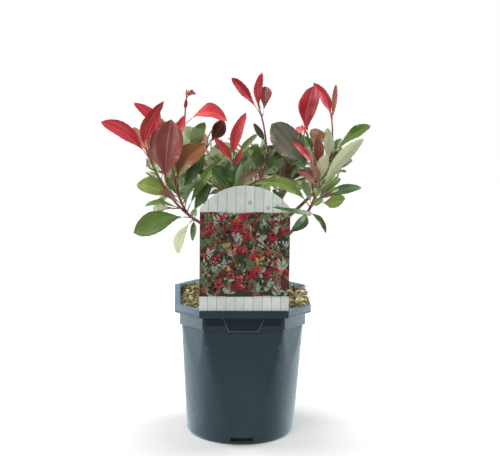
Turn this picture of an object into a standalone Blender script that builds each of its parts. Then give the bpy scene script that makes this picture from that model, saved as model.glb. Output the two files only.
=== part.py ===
"""A red tip photinia in its square-topped nursery pot, with the plant label in the rim.

Metres, +Z up. The origin is the centre of the pot's flat underside, and the label faces -Y.
The plant is a short main stem, ten boughs that leave it, and one mass of shoots and leaves on
each bough. Shoots and the leaves that stand out are rows of a table; a seeded spiral rule adds
the rest, and a leaf that would leave its mass's space or touch something is turned or skipped.
"""

import math
import random

import bmesh
import bpy
from mathutils import Matrix, Vector
from mathutils.bvhtree import BVHTree

# Pot: half width over the flats at the rim, half length of a rim side, and heights.
RIM_HALF = 0.085
RIM_SIDE_HALF = 0.055
RIM_HEIGHT = 0.179
LIP_DEPTH = 0.0095
FLANGE_WIDTH = 0.0070
STEP_HALF = 0.0785
STEP_TAPER = 0.0002
STEP_BOTTOM = 0.1530
BASE_RADIUS = 0.0676
BASE_EDGE = 0.0035
WALL = 0.0016
FLOOR = 0.0024
NOTCH_WIDTH = 0.028
NOTCH_HEIGHT = 0.0055
NOTCH_FOOT = 0.0040
FLOOR_INSET = 0.0030
RIM_EDGE = 0.0007
GAP = 0.0003

# The body below the step, at its foot and at the step: how far its flats, its corner facets and
# its round lie from the axis.
FLAT_AT = (0.0682, 0.0761)
FACET_AT = (0.0715, 0.0883)
ROUND_AT = (BASE_RADIUS, 0.0902)

# Heights of the wall's rings, as parts of the height of the step above them.
WALL_PARTS = (0.25, 0.5, 0.6, 0.7, 0.85, 1.0)

# Label: a thin card in a slot of the front rim, with an arched top.
LABEL_HALF = 0.055
LABEL_Y = -0.0822
LABEL_THICK = 0.0008
LABEL_SHOULDER = 0.307
LABEL_PEAK = 0.335
SLOT_DEPTH = 0.006

# Front of the step: a shallow strip under the lip, and a tapering tongue in it.
STRIP_HALF = 0.046
STRIP_DEPTH = 0.0008
STRIP_FOOT = 0.1584
TONGUE_HALF = 0.026
TONGUE_FOOT = 0.1515
TONGUE_PROUD = 0.0005
TONGUE_TAPER = 0.69

# Compost: its level at the wall and at the stem, and how deep its lumps go.
COMPOST_EDGE = 0.172
COMPOST_MIDDLE = 0.175
COMPOST_LUMP = 0.0022
COMPOST_GAP = 0.0006

# Stem and boughs: radii along them.
STEM_TOP = (0.004, 0.010, 0.262)
STEM_FOOT_RADIUS = 0.0062
STEM_RADIUS = 0.0046
STEM_TOP_RADIUS = 0.0038
BOUGH_RADIUS = 0.0026
BOUGH_END_RADIUS = 0.0020
SHOOT_RADIUS = 0.0018
SHOOT_TIP_RADIUS = 0.0012

# Leaves: a folded blade with a short stalk, thickest at the midrib.
LEAF_LENGTH = 0.068
LEAF_WIDTH = 0.35
LEAF_FULL = 0.60
LEAF_THICK = 0.0014
LEAF_FOLD = 0.30
STALK = 0.13
STALK_HALF = 0.0006
GOLDEN_TURN = 137.5
YOUNG_FROM = 0.80
ROOT_AT_TIP = 0.985

# Fitting a leaf: how many turns of it are tried, how much each try turns and shortens it, and
# the clearance kept round it.
TRIES = 13
TRY_TURN = 14
TRY_SHORTER = 0.03
TRY_NUDGE = 0.0022
SKIN = 0.0006

# A leaf that stands out is kept in sight: no leaf of the rule crosses the ribbons that run
# from its blade towards the viewer, over this share of its width and between these lengths.
TO_VIEWER = Vector((-0.043, -0.984, 0.171))
VEIL_WIDTH = 0.6
VEIL_START = 0.002
VEIL_END = 0.15

# Boughs: height on the main stem (none: from its top), how steeply the bough leaves it, and
# where the bough ends and its mass of leaves begins.
BOUGHS = {
    "left": (0.232, 1.0, (-0.060, -0.017, 0.280)),
    "upper_left": (0.250, 0.6, (-0.045, 0.012, 0.292)),
    "front": (0.242, 0.9, (-0.012, -0.040, 0.300)),
    "top": (None, 1.0, (0.019, 0.004, 0.318)),
    "upper_right": (0.252, 0.9, (0.044, -0.006, 0.304)),
    "right": (0.212, 0.65, (0.079, -0.031, 0.291)),
    "far_right": (0.234, 0.8, (0.088, 0.010, 0.306)),
    "back_left": (0.226, 0.8, (-0.044, 0.054, 0.290)),
    "back": (0.244, 0.9, (0.004, 0.060, 0.304)),
    "back_right": (0.219, 0.8, (0.052, 0.058, 0.288)),
}

# Each mass keeps inside an egg: centre and half sizes.
SPACES = {
    "left": ((-0.088, -0.010, 0.331), (0.055, 0.080, 0.046)),
    "upper_left": ((-0.048, 0.016, 0.348), (0.052, 0.066, 0.050)),
    "front": ((-0.006, -0.045, 0.334), (0.058, 0.050, 0.048)),
    "top": ((0.016, 0.020, 0.335), (0.058, 0.066, 0.034)),
    "upper_right": ((0.046, -0.012, 0.344), (0.054, 0.062, 0.053)),
    "right": ((0.086, -0.030, 0.328), (0.056, 0.068, 0.050)),
    "far_right": ((0.090, 0.030, 0.342), (0.054, 0.060, 0.050)),
    "back_left": ((-0.060, 0.080, 0.338), (0.070, 0.074, 0.054)),
    "back": ((0.004, 0.098, 0.330), (0.072, 0.070, 0.040)),
    "back_right": ((0.062, 0.086, 0.338), (0.070, 0.074, 0.054)),
}

# Shoots: mass, name, the shoot it springs from and how far along, its tip, how many leaves the
# rule gives it and how far up they go, the tint of its young leaves, and the first leaf's turn
# about it in degrees.
SHOOTS = [
    ("left", "red_left", None, 0.0, (-0.122, -0.026, 0.372), 9, 0.96, "red", 200),
    ("left", "wine_left", "red_left", 0.12, (-0.090, -0.024, 0.369), 9, 0.60, "wine", 40),
    ("left", "deep_left", "red_left", 0.10, (-0.090, 0.022, 0.340), 9, 0.96, "bronze", 75),
    ("upper_left", "thin", None, 0.0, (-0.071, 0.020, 0.430), 10, 0.96, "bronze", 120),
    ("upper_left", "olive", "thin", 0.22, (-0.036, 0.030, 0.378), 10, 0.96, "bronze", 10),
    ("front", "heart", None, 0.0, (-0.014, -0.057, 0.363), 12, 0.96, "green", 80),
    ("front", "skirt", "heart", 0.15, (0.026, -0.056, 0.340), 10, 0.96, "green", 300),
    ("front", "skirt_left", "heart", 0.10, (-0.040, -0.058, 0.332), 10, 0.96, "green", 120),
    ("front", "deep_front", "heart", 0.08, (-0.010, -0.018, 0.362), 9, 0.96, "green", 200),
    ("top", "summit", None, 0.0, (0.021, 0.004, 0.415), 9, 0.44, "green", 150),
    ("top", "summit_back", "summit", 0.10, (-0.010, 0.030, 0.372), 10, 0.96, "bronze", 60),
    ("top", "summit_side", "summit", 0.16, (0.046, 0.026, 0.374), 10, 0.96, "green", 330),
    ("top", "summit_front", "summit", 0.12, (0.030, -0.018, 0.364), 9, 0.96, "green", 20),
    ("upper_right", "inner", None, 0.0, (0.050, -0.014, 0.372), 12, 0.96, "green", 90),
    ("upper_right", "inner_low", "inner", 0.06, (0.040, -0.040, 0.345), 11, 0.96, "green", 210),
    ("upper_right", "deep_inner", "inner", 0.10, (0.064, 0.018, 0.360), 9, 0.96, "green", 30),
    ("right", "broad", None, 0.0, (0.077, -0.016, 0.393), 9, 0.96, "bronze", 250),
    ("right", "green_right", "broad", 0.20, (0.095, -0.046, 0.330), 4, 0.96, "light", 20),
    ("right", "low_right", "broad", 0.10, (0.110, -0.030, 0.318), 9, 0.96, "green", 170),
    ("right", "deep_right", "broad", 0.08, (0.106, -0.010, 0.338), 9, 0.96, "green", 250),
    ("far_right", "red_right", None, 0.0, (0.112, 0.010, 0.404), 10, 0.96, "bronze", 310),
    ("far_right", "side_right", "red_right", 0.20, (0.128, 0.040, 0.352), 10, 0.96, "bronze", 100),
    ("back_left", "tall_back_left", None, 0.0, (-0.079, 0.078, 0.353), 10, 0.96, "red", 30),
    ("back_left", "low_back_left", "tall_back_left", 0.14, (-0.104, 0.072, 0.326), 9, 0.96, "bronze", 220),
    ("back_left", "mid_back_left", "tall_back_left", 0.08, (-0.040, 0.098, 0.342), 8, 0.96, "rose", 120),
    ("back", "tall_back", None, 0.0, (0.053, 0.080, 0.354), 10, 0.96, "red", 75),
    ("back", "low_back", "tall_back", 0.12, (-0.012, 0.126, 0.334), 9, 0.96, "rose", 260),
    ("back_right", "tall_back_right", None, 0.0, (0.084, 0.082, 0.377), 10, 0.96, "red", 140),
    ("back_right", "low_back_right", "tall_back_right", 0.14, (0.106, 0.086, 0.322), 9, 0.96, "bronze", 330),
    ("back_right", "mid_back_right", "tall_back_right", 0.08, (0.052, 0.116, 0.336), 8, 0.96, "rose", 15),
]

# Leaves that stand out: shoot, how far along it, the leaf's tip, how far its middle bulges off
# the straight line, its width, how far along it is widest, its turn from facing the front, and
# its tint.
STANDING_LEAVES = [
    ("red_left", 0.90, (-0.176, -0.042, 0.406), (0.004, -0.003, 0.006), 0.021, 0.60, 38, "red"),
    ("red_left", 1.00, (-0.099, -0.040, 0.432), (-0.011, -0.006, -0.002), 0.016, 0.50, -5, "red"),
    ("red_left", 0.97, (-0.136, -0.010, 0.426), (0.016, 0.004, 0.004), 0.016, 0.70, 5, "red"),
    ("red_left", 0.95, (-0.107, 0.004, 0.417), (0.002, 0.002, 0.000), 0.012, 0.58, 15, "red"),
    ("red_left", 0.88, (-0.138, 0.008, 0.393), (0.000, 0.004, 0.003), 0.010, 0.50, 20, "rose"),
    ("red_left", 0.74, (-0.118, 0.004, 0.389), (0.000, 0.000, 0.000), 0.013, 0.50, -10, "rose"),
    ("red_left", 0.50, (-0.090, -0.044, 0.410), (-0.003, -0.010, 0.000), 0.041, 0.66, -8, "wine"),
    ("red_left", 0.46, (-0.123, 0.022, 0.333), (0.000, 0.000, 0.003), 0.010, 0.50, 40, "green"),
    ("red_left", 0.34, (-0.133, -0.030, 0.325), (-0.001, 0.000, 0.006), 0.023, 0.58, 28, "light"),
    ("red_left", 0.26, (-0.105, -0.052, 0.322), (0.000, 0.000, 0.005), 0.009, 0.50, 50, "rose"),
    ("red_left", 0.14, (-0.026, -0.044, 0.362), (-0.003, -0.004, 0.004), 0.013, 0.55, -30, "light"),
    ("red_left", 0.07, (-0.040, -0.034, 0.332), (0.001, -0.003, 0.003), 0.017, 0.55, -25, "green"),
    ("red_left", 0.04, (-0.136, -0.058, 0.271), (0.000, -0.004, 0.008), 0.028, 0.66, 20, "green"),
    ("red_left", 0.02, (-0.081, -0.062, 0.246), (-0.005, -0.004, 0.000), 0.014, 0.55, 165, "light"),
    ("red_left", 0.02, (-0.063, -0.034, 0.256), (0.000, -0.002, 0.000), 0.008, 0.45, 10, "green"),
    ("red_left", 0.06, (-0.059, -0.056, 0.301), (0.000, -0.002, 0.000), 0.009, 0.55, -10, "light"),
    ("wine_left", 1.00, (-0.074, -0.022, 0.412), (0.001, -0.002, 0.000), 0.011, 0.55, -15, "red"),
    ("wine_left", 0.97, (-0.104, -0.022, 0.409), (-0.001, -0.002, 0.004), 0.010, 0.55, 10, "rose"),
    ("wine_left", 0.44, (-0.047, -0.020, 0.377), (-0.010, -0.006, 0.004), 0.028, 0.66, -22, "rust"),
    ("wine_left", 0.34, (-0.050, -0.008, 0.367), (0.001, -0.003, 0.000), 0.018, 0.60, -20, "green"),
    ("wine_left", 0.20, (-0.097, -0.008, 0.334), (0.000, -0.003, 0.004), 0.015, 0.58, 20, "green"),
    ("thin", 1.00, (-0.058, 0.024, 0.432), (0.000, 0.000, 0.005), 0.008, 0.50, -40, "wine"),
    ("thin", 0.80, (-0.020, 0.002, 0.402), (0.001, -0.006, 0.015), 0.022, 0.60, -42, "red"),
    ("thin", 0.90, (-0.072, 0.014, 0.429), (0.000, -0.001, 0.001), 0.005, 0.55, 20, "red"),
    ("thin", 0.48, (-0.063, -0.010, 0.396), (0.000, -0.006, 0.000), 0.031, 0.66, 176, "green"),
    ("thin", 0.58, (-0.048, 0.012, 0.399), (0.000, 0.000, 0.003), 0.015, 0.55, 10, "light"),
    ("olive", 0.86, (-0.024, 0.020, 0.401), (0.001, -0.004, 0.000), 0.018, 0.60, 0, "wine"),
    ("heart", 0.97, (-0.038, -0.060, 0.390), (0.001, -0.003, -0.001), 0.012, 0.50, 35, "red"),
    ("heart", 1.00, (0.001, -0.058, 0.421), (-0.005, -0.003, 0.000), 0.014, 0.50, -15, "red"),
    ("heart", 0.90, (-0.005, -0.066, 0.377), (0.001, -0.002, 0.000), 0.007, 0.50, 10, "red"),
    ("heart", 0.94, (0.016, -0.046, 0.393), (0.000, -0.002, 0.002), 0.009, 0.55, -40, "light"),
    ("heart", 0.42, (-0.004, -0.062, 0.359), (0.000, -0.003, 0.000), 0.009, 0.50, 170, "green"),
    ("heart", 0.34, (0.019, -0.076, 0.355), (-0.003, -0.004, 0.003), 0.010, 0.55, -35, "rust"),
    ("heart", 0.22, (-0.040, -0.056, 0.355), (0.000, -0.004, 0.005), 0.020, 0.58, 25, "green"),
    ("summit", 0.97, (-0.016, -0.012, 0.458), (0.002, -0.004, 0.001), 0.013, 0.68, 30, "red"),
    ("summit", 1.00, (0.023, 0.006, 0.463), (-0.004, -0.003, 0.000), 0.011, 0.55, 8, "red"),
    ("summit", 0.94, (0.028, 0.014, 0.445), (0.001, -0.004, 0.000), 0.017, 0.76, -12, "wine"),
    ("summit", 0.64, (0.012, 0.000, 0.402), (0.000, 0.000, 0.000), 0.008, 0.50, 0, "bronze"),
    ("summit", 0.36, (0.004, -0.016, 0.370), (0.000, -0.003, 0.004), 0.016, 0.60, 25, "light"),
    ("summit", 0.30, (0.042, -0.012, 0.373), (0.000, -0.003, 0.005), 0.015, 0.60, -30, "bronze"),
    ("summit", 0.16, (0.012, -0.036, 0.370), (0.000, -0.004, 0.004), 0.017, 0.60, 10, "green"),
    ("summit", 0.10, (0.049, -0.040, 0.364), (0.000, -0.004, 0.004), 0.020, 0.60, -20, "green"),
    ("broad", 0.60, (0.033, -0.036, 0.404), (-0.004, -0.006, 0.001), 0.036, 0.62, 14, "bronze"),
    ("broad", 0.92, (0.087, -0.012, 0.449), (-0.006, -0.008, 0.000), 0.024, 0.66, 4, "red"),
    ("broad", 0.64, (0.058, -0.054, 0.385), (0.001, -0.002, 0.001), 0.009, 0.50, 30, "red"),
    ("broad", 0.62, (0.089, -0.046, 0.390), (0.003, -0.003, 0.000), 0.013, 0.55, -15, "wine"),
    ("broad", 0.86, (0.096, 0.004, 0.392), (0.001, 0.000, 0.000), 0.020, 0.60, -20, "rust"),
    ("broad", 0.80, (0.075, -0.032, 0.389), (0.000, -0.002, 0.000), 0.009, 0.50, 10, "green"),
    ("broad", 0.36, (0.063, -0.062, 0.350), (0.005, -0.003, 0.005), 0.014, 0.55, 25, "rose"),
    ("broad", 0.44, (0.079, -0.072, 0.365), (0.003, -0.003, 0.000), 0.010, 0.50, -20, "rose"),
    ("broad", 0.14, (0.072, -0.052, 0.337), (0.000, -0.002, 0.000), 0.010, 0.55, 160, "green"),
    ("broad", 0.10, (0.015, -0.076, 0.337), (0.003, -0.003, 0.012), 0.016, 0.50, 30, "light"),
    ("broad", 0.02, (0.031, -0.094, 0.311), (0.018, -0.014, -0.003), 0.009, 0.50, 60, "green"),
    ("broad", 0.02, (0.058, -0.060, 0.275), (0.003, -0.002, 0.000), 0.014, 0.50, 20, "green"),
    ("broad", 0.03, (0.103, -0.040, 0.267), (0.003, 0.000, 0.003), 0.008, 0.50, -30, "green"),
    ("green_right", 1.00, (0.145, -0.060, 0.390), (-0.003, -0.004, 0.003), 0.016, 0.52, 172, "light"),
    ("broad", 0.40, (0.101, -0.056, 0.369), (-0.003, -0.003, 0.000), 0.015, 0.58, 150, "light"),
    ("low_right", 0.45, (0.151, -0.002, 0.319), (0.000, 0.000, 0.004), 0.014, 0.52, -45, "green"),
    ("low_right", 0.34, (0.124, 0.006, 0.330), (0.000, 0.000, 0.004), 0.014, 0.58, -40, "green"),
    ("low_right", 0.42, (0.125, -0.052, 0.314), (0.000, 0.000, -0.005), 0.017, 0.66, -35, "light"),
    ("low_right", 0.05, (0.098, -0.050, 0.313), (-0.001, 0.000, 0.001), 0.009, 0.55, -30, "light"),
    ("inner", 0.86, (0.071, -0.016, 0.390), (0.000, -0.003, 0.000), 0.024, 0.62, 10, "green"),
    ("inner", 0.30, (0.051, -0.050, 0.359), (0.000, -0.003, 0.003), 0.017, 0.60, 15, "rust"),
    ("red_right", 1.00, (0.087, 0.004, 0.451), (0.004, -0.003, 0.001), 0.013, 0.55, 20, "red"),
    ("red_right", 0.98, (0.117, 0.016, 0.448), (0.000, 0.002, 0.000), 0.007, 0.55, -10, "rose"),
    ("red_right", 0.60, (0.163, 0.022, 0.395), (-0.001, 0.000, 0.004), 0.016, 0.66, -40, "light"),
    ("red_right", 0.46, (0.105, -0.006, 0.396), (-0.001, -0.003, 0.000), 0.013, 0.60, 155, "light"),
    ("tall_back_left", 1.00, (-0.084, 0.096, 0.388), (0.000, 0.006, 0.000), 0.017, 0.62, 170, "red"),
    ("tall_back_left", 0.96, (-0.066, 0.080, 0.381), (0.000, 0.004, 0.000), 0.016, 0.62, 190, "red"),
    ("tall_back_left", 0.90, (-0.097, 0.100, 0.379), (0.000, 0.005, 0.000), 0.016, 0.62, 160, "rose"),
    ("tall_back", 1.00, (0.057, 0.092, 0.382), (0.000, 0.006, 0.000), 0.017, 0.62, 180, "red"),
    ("tall_back", 0.94, (0.048, 0.104, 0.377), (0.000, 0.005, 0.000), 0.016, 0.62, 170, "red"),
    ("mid_back_left", 1.00, (-0.057, 0.112, 0.374), (0.000, 0.005, 0.000), 0.017, 0.62, 175, "rose"),
    ("tall_back_right", 1.00, (0.086, 0.096, 0.426), (0.000, 0.006, 0.000), 0.017, 0.66, 180, "red"),
    ("tall_back_right", 0.96, (0.074, 0.104, 0.380), (0.000, 0.005, 0.000), 0.015, 0.60, 170, "red"),
    ("mid_back_right", 1.00, (0.062, 0.122, 0.367), (0.000, 0.005, 0.000), 0.017, 0.62, 180, "wine"),
]

# Leaf tints: young leaves are red, older ones green.
TINTS = {
    "red": (0.46, 0.020, 0.022),
    "rose": (0.40, 0.13, 0.10),
    "wine": (0.15, 0.018, 0.022),
    "rust": (0.27, 0.075, 0.028),
    "bronze": (0.15, 0.085, 0.050),
    "light": (0.17, 0.24, 0.075),
    "green": (0.040, 0.105, 0.032),
}
OLD_TINTS = ("green", "green", "green", "light", "bronze")


def clear_scene():
    for old in list(bpy.data.objects):
        bpy.data.objects.remove(old, do_unlink=True)


def principled(name, colour, roughness):
    material = bpy.data.materials.new(name)
    material.use_nodes = True
    shader = material.node_tree.nodes["Principled BSDF"]
    shader.inputs["Base Color"].default_value = (*colour, 1.0)
    shader.inputs["Roughness"].default_value = roughness
    return material


def add_object(name, mesh, material, smooth_angle=None):
    body = bpy.data.objects.new(name, mesh)
    bpy.context.scene.collection.objects.link(body)
    mesh.materials.append(material)
    if smooth_angle is not None:
        mesh.shade_smooth()
        mesh.set_sharp_from_angle(angle=math.radians(smooth_angle))
    return body


def mesh_from(name, points, faces):
    mesh = bpy.data.meshes.new(name)
    mesh.from_pydata([tuple(p) for p in points], [], faces)
    mesh.validate()
    return mesh


def apply_boolean(body, operation, other=None, collection=None):
    modifier = body.modifiers.new("join", "BOOLEAN")
    modifier.operation = operation
    modifier.solver = "EXACT"
    if other is None:
        modifier.operand_type = "COLLECTION"
        modifier.collection = collection
    else:
        modifier.object = other
    evaluated = body.evaluated_get(bpy.context.evaluated_depsgraph_get())
    result = bpy.data.meshes.new_from_object(evaluated)
    body.modifiers.clear()
    body.data = result


def box_mesh(name, low, high):
    mesh = bpy.data.meshes.new(name)
    box = bmesh.new()
    bmesh.ops.create_cube(box, size=1.0)
    for vert in box.verts:
        for axis in range(3):
            vert.co[axis] = low[axis] if vert.co[axis] < 0 else high[axis]
    box.to_mesh(mesh)
    box.free()
    return mesh


# Pot

def pot_angles():
    """Angles round the pot: six steps along each side and three along each cut corner."""
    corner = math.atan2(RIM_SIDE_HALF, RIM_HALF)
    angles = []
    for side in range(4):
        middle = side * math.pi / 2
        angles += [middle - corner + 2 * corner * step / 6 for step in range(6)]
        cut = math.pi / 2 - 2 * corner
        angles += [middle + corner + cut * step / 3 for step in range(3)]
    return angles


def pot_ring(height, flat, facet=None, cone=1.0):
    """A level ring: flat sides, cut corners at facet's distance, all trimmed by a circle."""
    facet = facet or flat * (1 + RIM_SIDE_HALF / RIM_HALF) / math.sqrt(2)
    ring = []
    for angle in pot_angles():
        to_side = (angle + math.pi / 4) % (math.pi / 2) - math.pi / 4
        to_corner = angle % (math.pi / 2) - math.pi / 4
        reach = min(cone, flat / math.cos(to_side), facet / math.cos(to_corner))
        ring.append(Vector((reach * math.cos(angle), reach * math.sin(angle), height)))
    return ring


def wall_ring(height, inset=0.0, level=None):
    """The body's ring at a height, moved in by inset; level puts it at another height."""
    part = height / STEP_BOTTOM
    sizes = [foot + (top - foot) * part - inset for foot, top in (FLAT_AT, FACET_AT, ROUND_AT)]
    return pot_ring(height if level is None else level, *sizes)


def stack_rings(rings, close_bottom=True, close_top=True):
    """Faces between level rings listed from the outside bottom, over the top and down inside.

    Each four-sided patch is split from its lower left to its upper right, on the way up and on
    the way down, so that walls that follow each other stay parallel.
    """
    count = len(rings[0])
    points = [p for ring in rings for p in ring]
    faces = []
    for row in range(len(rings) - 1):
        rising = rings[row + 1][0].z >= rings[row][0].z
        for i in range(count):
            j = (i + 1) % count
            a, b = row * count + i, row * count + j
            c, d = (row + 1) * count + j, (row + 1) * count + i
            faces += [(a, b, c), (a, c, d)] if rising else [(a, b, d), (b, c, d)]
    if close_bottom:
        faces.append(tuple(reversed(range(count))))
    if close_top:
        last = (len(rings) - 1) * count
        faces.append(tuple(range(last, last + count)))
    return points, faces


def build_pot(material):
    wide = 2 * RIM_HALF
    rings = [pot_ring(0.0, wide, wide, BASE_RADIUS - BASE_EDGE)]
    for turn in (30, 60, 90):
        reach = BASE_RADIUS - BASE_EDGE * (1 - math.sin(math.radians(turn)))
        height = BASE_EDGE * (1 - math.cos(math.radians(turn)))
        rings.append(pot_ring(height, wide, wide, reach))
    wall_heights = [STEP_BOTTOM * part for part in WALL_PARTS]
    rings += [wall_ring(height) for height in wall_heights]
    lip_bottom = RIM_HEIGHT - LIP_DEPTH
    for height, flat in (
        (STEP_BOTTOM, STEP_HALF - STEP_TAPER),
        (lip_bottom, STEP_HALF),
        (lip_bottom, RIM_HALF - RIM_EDGE),
        (lip_bottom + RIM_EDGE, RIM_HALF),
        (RIM_HEIGHT - RIM_EDGE, RIM_HALF),
        (RIM_HEIGHT, RIM_HALF - RIM_EDGE),
        (RIM_HEIGHT, RIM_HALF - FLANGE_WIDTH + RIM_EDGE),
        (RIM_HEIGHT - RIM_EDGE, RIM_HALF - FLANGE_WIDTH),
    ):
        rings.append(pot_ring(height, flat))
    rings += [wall_ring(height, WALL) for height in [*reversed(wall_heights), 2 * FLOOR]]
    rings.append(pot_ring(FLOOR, wide, wide, BASE_RADIUS - WALL - FLOOR_INSET))
    pot = add_object("nursery_pot", mesh_from("nursery_pot", *stack_rings(rings)), material)

    cutters = bpy.data.collections.new("cutters")
    for side in range(4):
        low = (BASE_RADIUS - 2 * FLOOR_INSET, -NOTCH_WIDTH / 2, NOTCH_FOOT)
        high = (BASE_RADIUS + 2 * FLOOR_INSET, NOTCH_WIDTH / 2, NOTCH_FOOT + NOTCH_HEIGHT)
        mesh = box_mesh("notch", low, high)
        mesh.transform(Matrix.Rotation(side * math.pi / 2, 4, "Z"))
        cutters.objects.link(bpy.data.objects.new("notch", mesh))
    strip = box_mesh(
        "strip",
        (-STRIP_HALF, -2 * STEP_HALF, STRIP_FOOT),
        (STRIP_HALF, -STEP_HALF + STRIP_DEPTH, lip_bottom),
    )
    cutters.objects.link(bpy.data.objects.new("strip", strip))
    slot = box_mesh(
        "slot",
        (-LABEL_HALF - GAP, LABEL_Y - LABEL_THICK / 2 - GAP, RIM_HEIGHT - SLOT_DEPTH),
        (LABEL_HALF + GAP, LABEL_Y + LABEL_THICK / 2 + GAP, RIM_HEIGHT + SLOT_DEPTH),
    )
    cutters.objects.link(bpy.data.objects.new("slot", slot))
    apply_boolean(pot, "DIFFERENCE", collection=cutters)
    for cutter in list(cutters.objects):
        bpy.data.objects.remove(cutter, do_unlink=True)

    tongue = box_mesh(
        "tongue",
        (-TONGUE_HALF, -STEP_HALF - TONGUE_PROUD, TONGUE_FOOT),
        (TONGUE_HALF, -STEP_HALF + STRIP_DEPTH + GAP, lip_bottom + STRIP_DEPTH),
    )
    for vert in tongue.vertices:
        if vert.co.z < STEP_BOTTOM:
            vert.co.x *= TONGUE_TAPER
    boss = bpy.data.objects.new("tongue", tongue)
    bpy.context.scene.collection.objects.link(boss)
    apply_boolean(pot, "UNION", other=boss)
    bpy.data.objects.remove(boss, do_unlink=True)
    pot.data.materials.clear()
    pot.data.materials.append(material)
    pot.data.shade_smooth()
    pot.data.set_sharp_from_angle(angle=math.radians(28))
    return pot


def build_compost(material):
    """The filling: it stands 0.3 mm off the pot inside, and its top is lumpy but for the middle."""
    bumps = random.Random(5)
    wide = 2 * RIM_HALF
    rings = [pot_ring(FLOOR + GAP, wide, wide, BASE_RADIUS - WALL - FLOOR_INSET - GAP)]
    wall_heights = [STEP_BOTTOM * part for part in WALL_PARTS]
    for height in (2 * FLOOR + GAP, *wall_heights):
        rings.append(wall_ring(height, WALL + COMPOST_GAP))
    rings.append(wall_ring(STEP_BOTTOM, WALL + COMPOST_GAP, COMPOST_EDGE - COMPOST_LUMP))
    edge_ring = rings[-1]
    for part, rise in ((0.93, 0.4), (0.75, 0.6), (0.52, 0.8), (0.3, 1.0), (0.13, 1.0)):
        level = COMPOST_EDGE + (COMPOST_MIDDLE - COMPOST_EDGE) * rise
        lump = 0.0 if part < 0.2 else COMPOST_LUMP
        ring = []
        for p in edge_ring:
            ring.append(Vector((p.x * part, p.y * part, level - lump * bumps.random())))
        rings.append(ring)
    return add_object("compost", mesh_from("compost", *stack_rings(rings)), material)


def build_label(material):
    """A plain card: straight sides, an arched top, and its foot 0.3 mm above the slot's floor."""
    rise = LABEL_PEAK - LABEL_SHOULDER
    radius = (LABEL_HALF**2 + rise**2) / (2 * rise)
    sweep = math.asin(LABEL_HALF / radius)
    foot = RIM_HEIGHT - SLOT_DEPTH + GAP
    outline = [(-LABEL_HALF, foot), (LABEL_HALF, foot)]
    for step in range(13):
        turn = sweep * (1 - step / 6)
        outline.append((radius * math.sin(turn), LABEL_PEAK - radius + radius * math.cos(turn)))
    count = len(outline)
    front = LABEL_Y - LABEL_THICK / 2
    back = LABEL_Y + LABEL_THICK / 2
    points = [(x, front, z) for x, z in outline] + [(x, back, z) for x, z in outline]
    faces = [tuple(range(count)), tuple(reversed(range(count, 2 * count)))]
    for i in range(count):
        j = (i + 1) % count
        faces.append((j, i, count + i, count + j))
    return add_object("label_card", mesh_from("label_card", points, faces), material)


# Stems

def bend(start, heading, end):
    """A quadratic curve's three points: it leaves start along heading and ends at end."""
    reach = (end - start).length
    return start, start + heading.normalized() * reach * 0.45, end


def along(curve, t):
    a, b, c = curve
    return a * (1 - t) ** 2 + b * 2 * t * (1 - t) + c * t**2


def heading_at(curve, t):
    a, b, c = curve
    return ((b - a) * (1 - t) + (c - b) * t).normalized()


def square_axes(direction):
    """Two axes square to a direction; the first is level where it can be."""
    level = Vector((0, 0, 1)).cross(direction)
    if level.length < 0.05:
        level = Vector((1, 0, 0))
    level = (level - direction * level.dot(direction)).normalized()
    return level, direction.cross(level)


def tube(curve, start_radius, end_radius, sides, steps):
    """A tapering limb along a curve, with flat ends square to it."""
    rings = []
    level, _upright = square_axes(heading_at(curve, 0.0))
    for step in range(steps + 1):
        t = step / steps
        radius = start_radius + (end_radius - start_radius) * t
        ahead = heading_at(curve, t)
        level = (level - ahead * level.dot(ahead)).normalized()
        upright = ahead.cross(level)
        ring = []
        for side in range(sides):
            angle = 2 * math.pi * side / sides
            ring.append(along(curve, t) + (level * math.cos(angle) + upright * math.sin(angle)) * radius)
        rings.append(ring)
    return stack_rings(rings)


def stem_curve():
    foot = Vector((0.0, 0.004, COMPOST_MIDDLE + GAP))
    return bend(foot, Vector((0, 0, 1)), Vector(STEM_TOP))


def build_stem(material):
    curve = stem_curve()
    points, faces = tube(curve, STEM_RADIUS, STEM_TOP_RADIUS, 8, 6)
    foot = curve[0]
    for i in range(8):
        points[i] = foot + (points[i] - foot) * (STEM_FOOT_RADIUS / STEM_RADIUS)
        points[i].z = foot.z
    top = curve[2].z
    for i in range(len(points) - 8, len(points)):
        points[i].z = top
    return add_object("main_stem", mesh_from("main_stem", points, faces), material, 40)


def bough_curve(name):
    """A bough's curve from the axis of the stem, and the way out of the stem."""
    height, rise, end = BOUGHS[name]
    end = Vector(end)
    stem = stem_curve()
    if height is None:
        start = stem[2] + Vector((0, 0, GAP))
        return bend(start, Vector((0, 0, 1)), end), None
    part = (height - stem[0].z) / (stem[2].z - stem[0].z)
    root = along(stem, part)
    outward = Vector((end.x - root.x, end.y - root.y, 0)).normalized()
    bark_at = STEM_RADIUS + (STEM_TOP_RADIUS - STEM_RADIUS) * part
    start = root + outward * (bark_at + GAP)
    return bend(start, outward + Vector((0, 0, rise)), end), outward


def build_bough(name, material):
    """A tapering limb whose foot is cut upright, 0.3 mm off the stem's bark."""
    curve, outward = bough_curve(name)
    points, faces = tube(curve, BOUGH_RADIUS, BOUGH_END_RADIUS, 6, 7)
    if outward is not None:
        ahead = heading_at(curve, 0.0)
        for i in range(6):
            points[i] -= ahead * ((points[i] - curve[0]).dot(outward) / ahead.dot(outward))
    return add_object("bough_" + name, mesh_from("bough_" + name, points, faces), material, 50)


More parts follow.
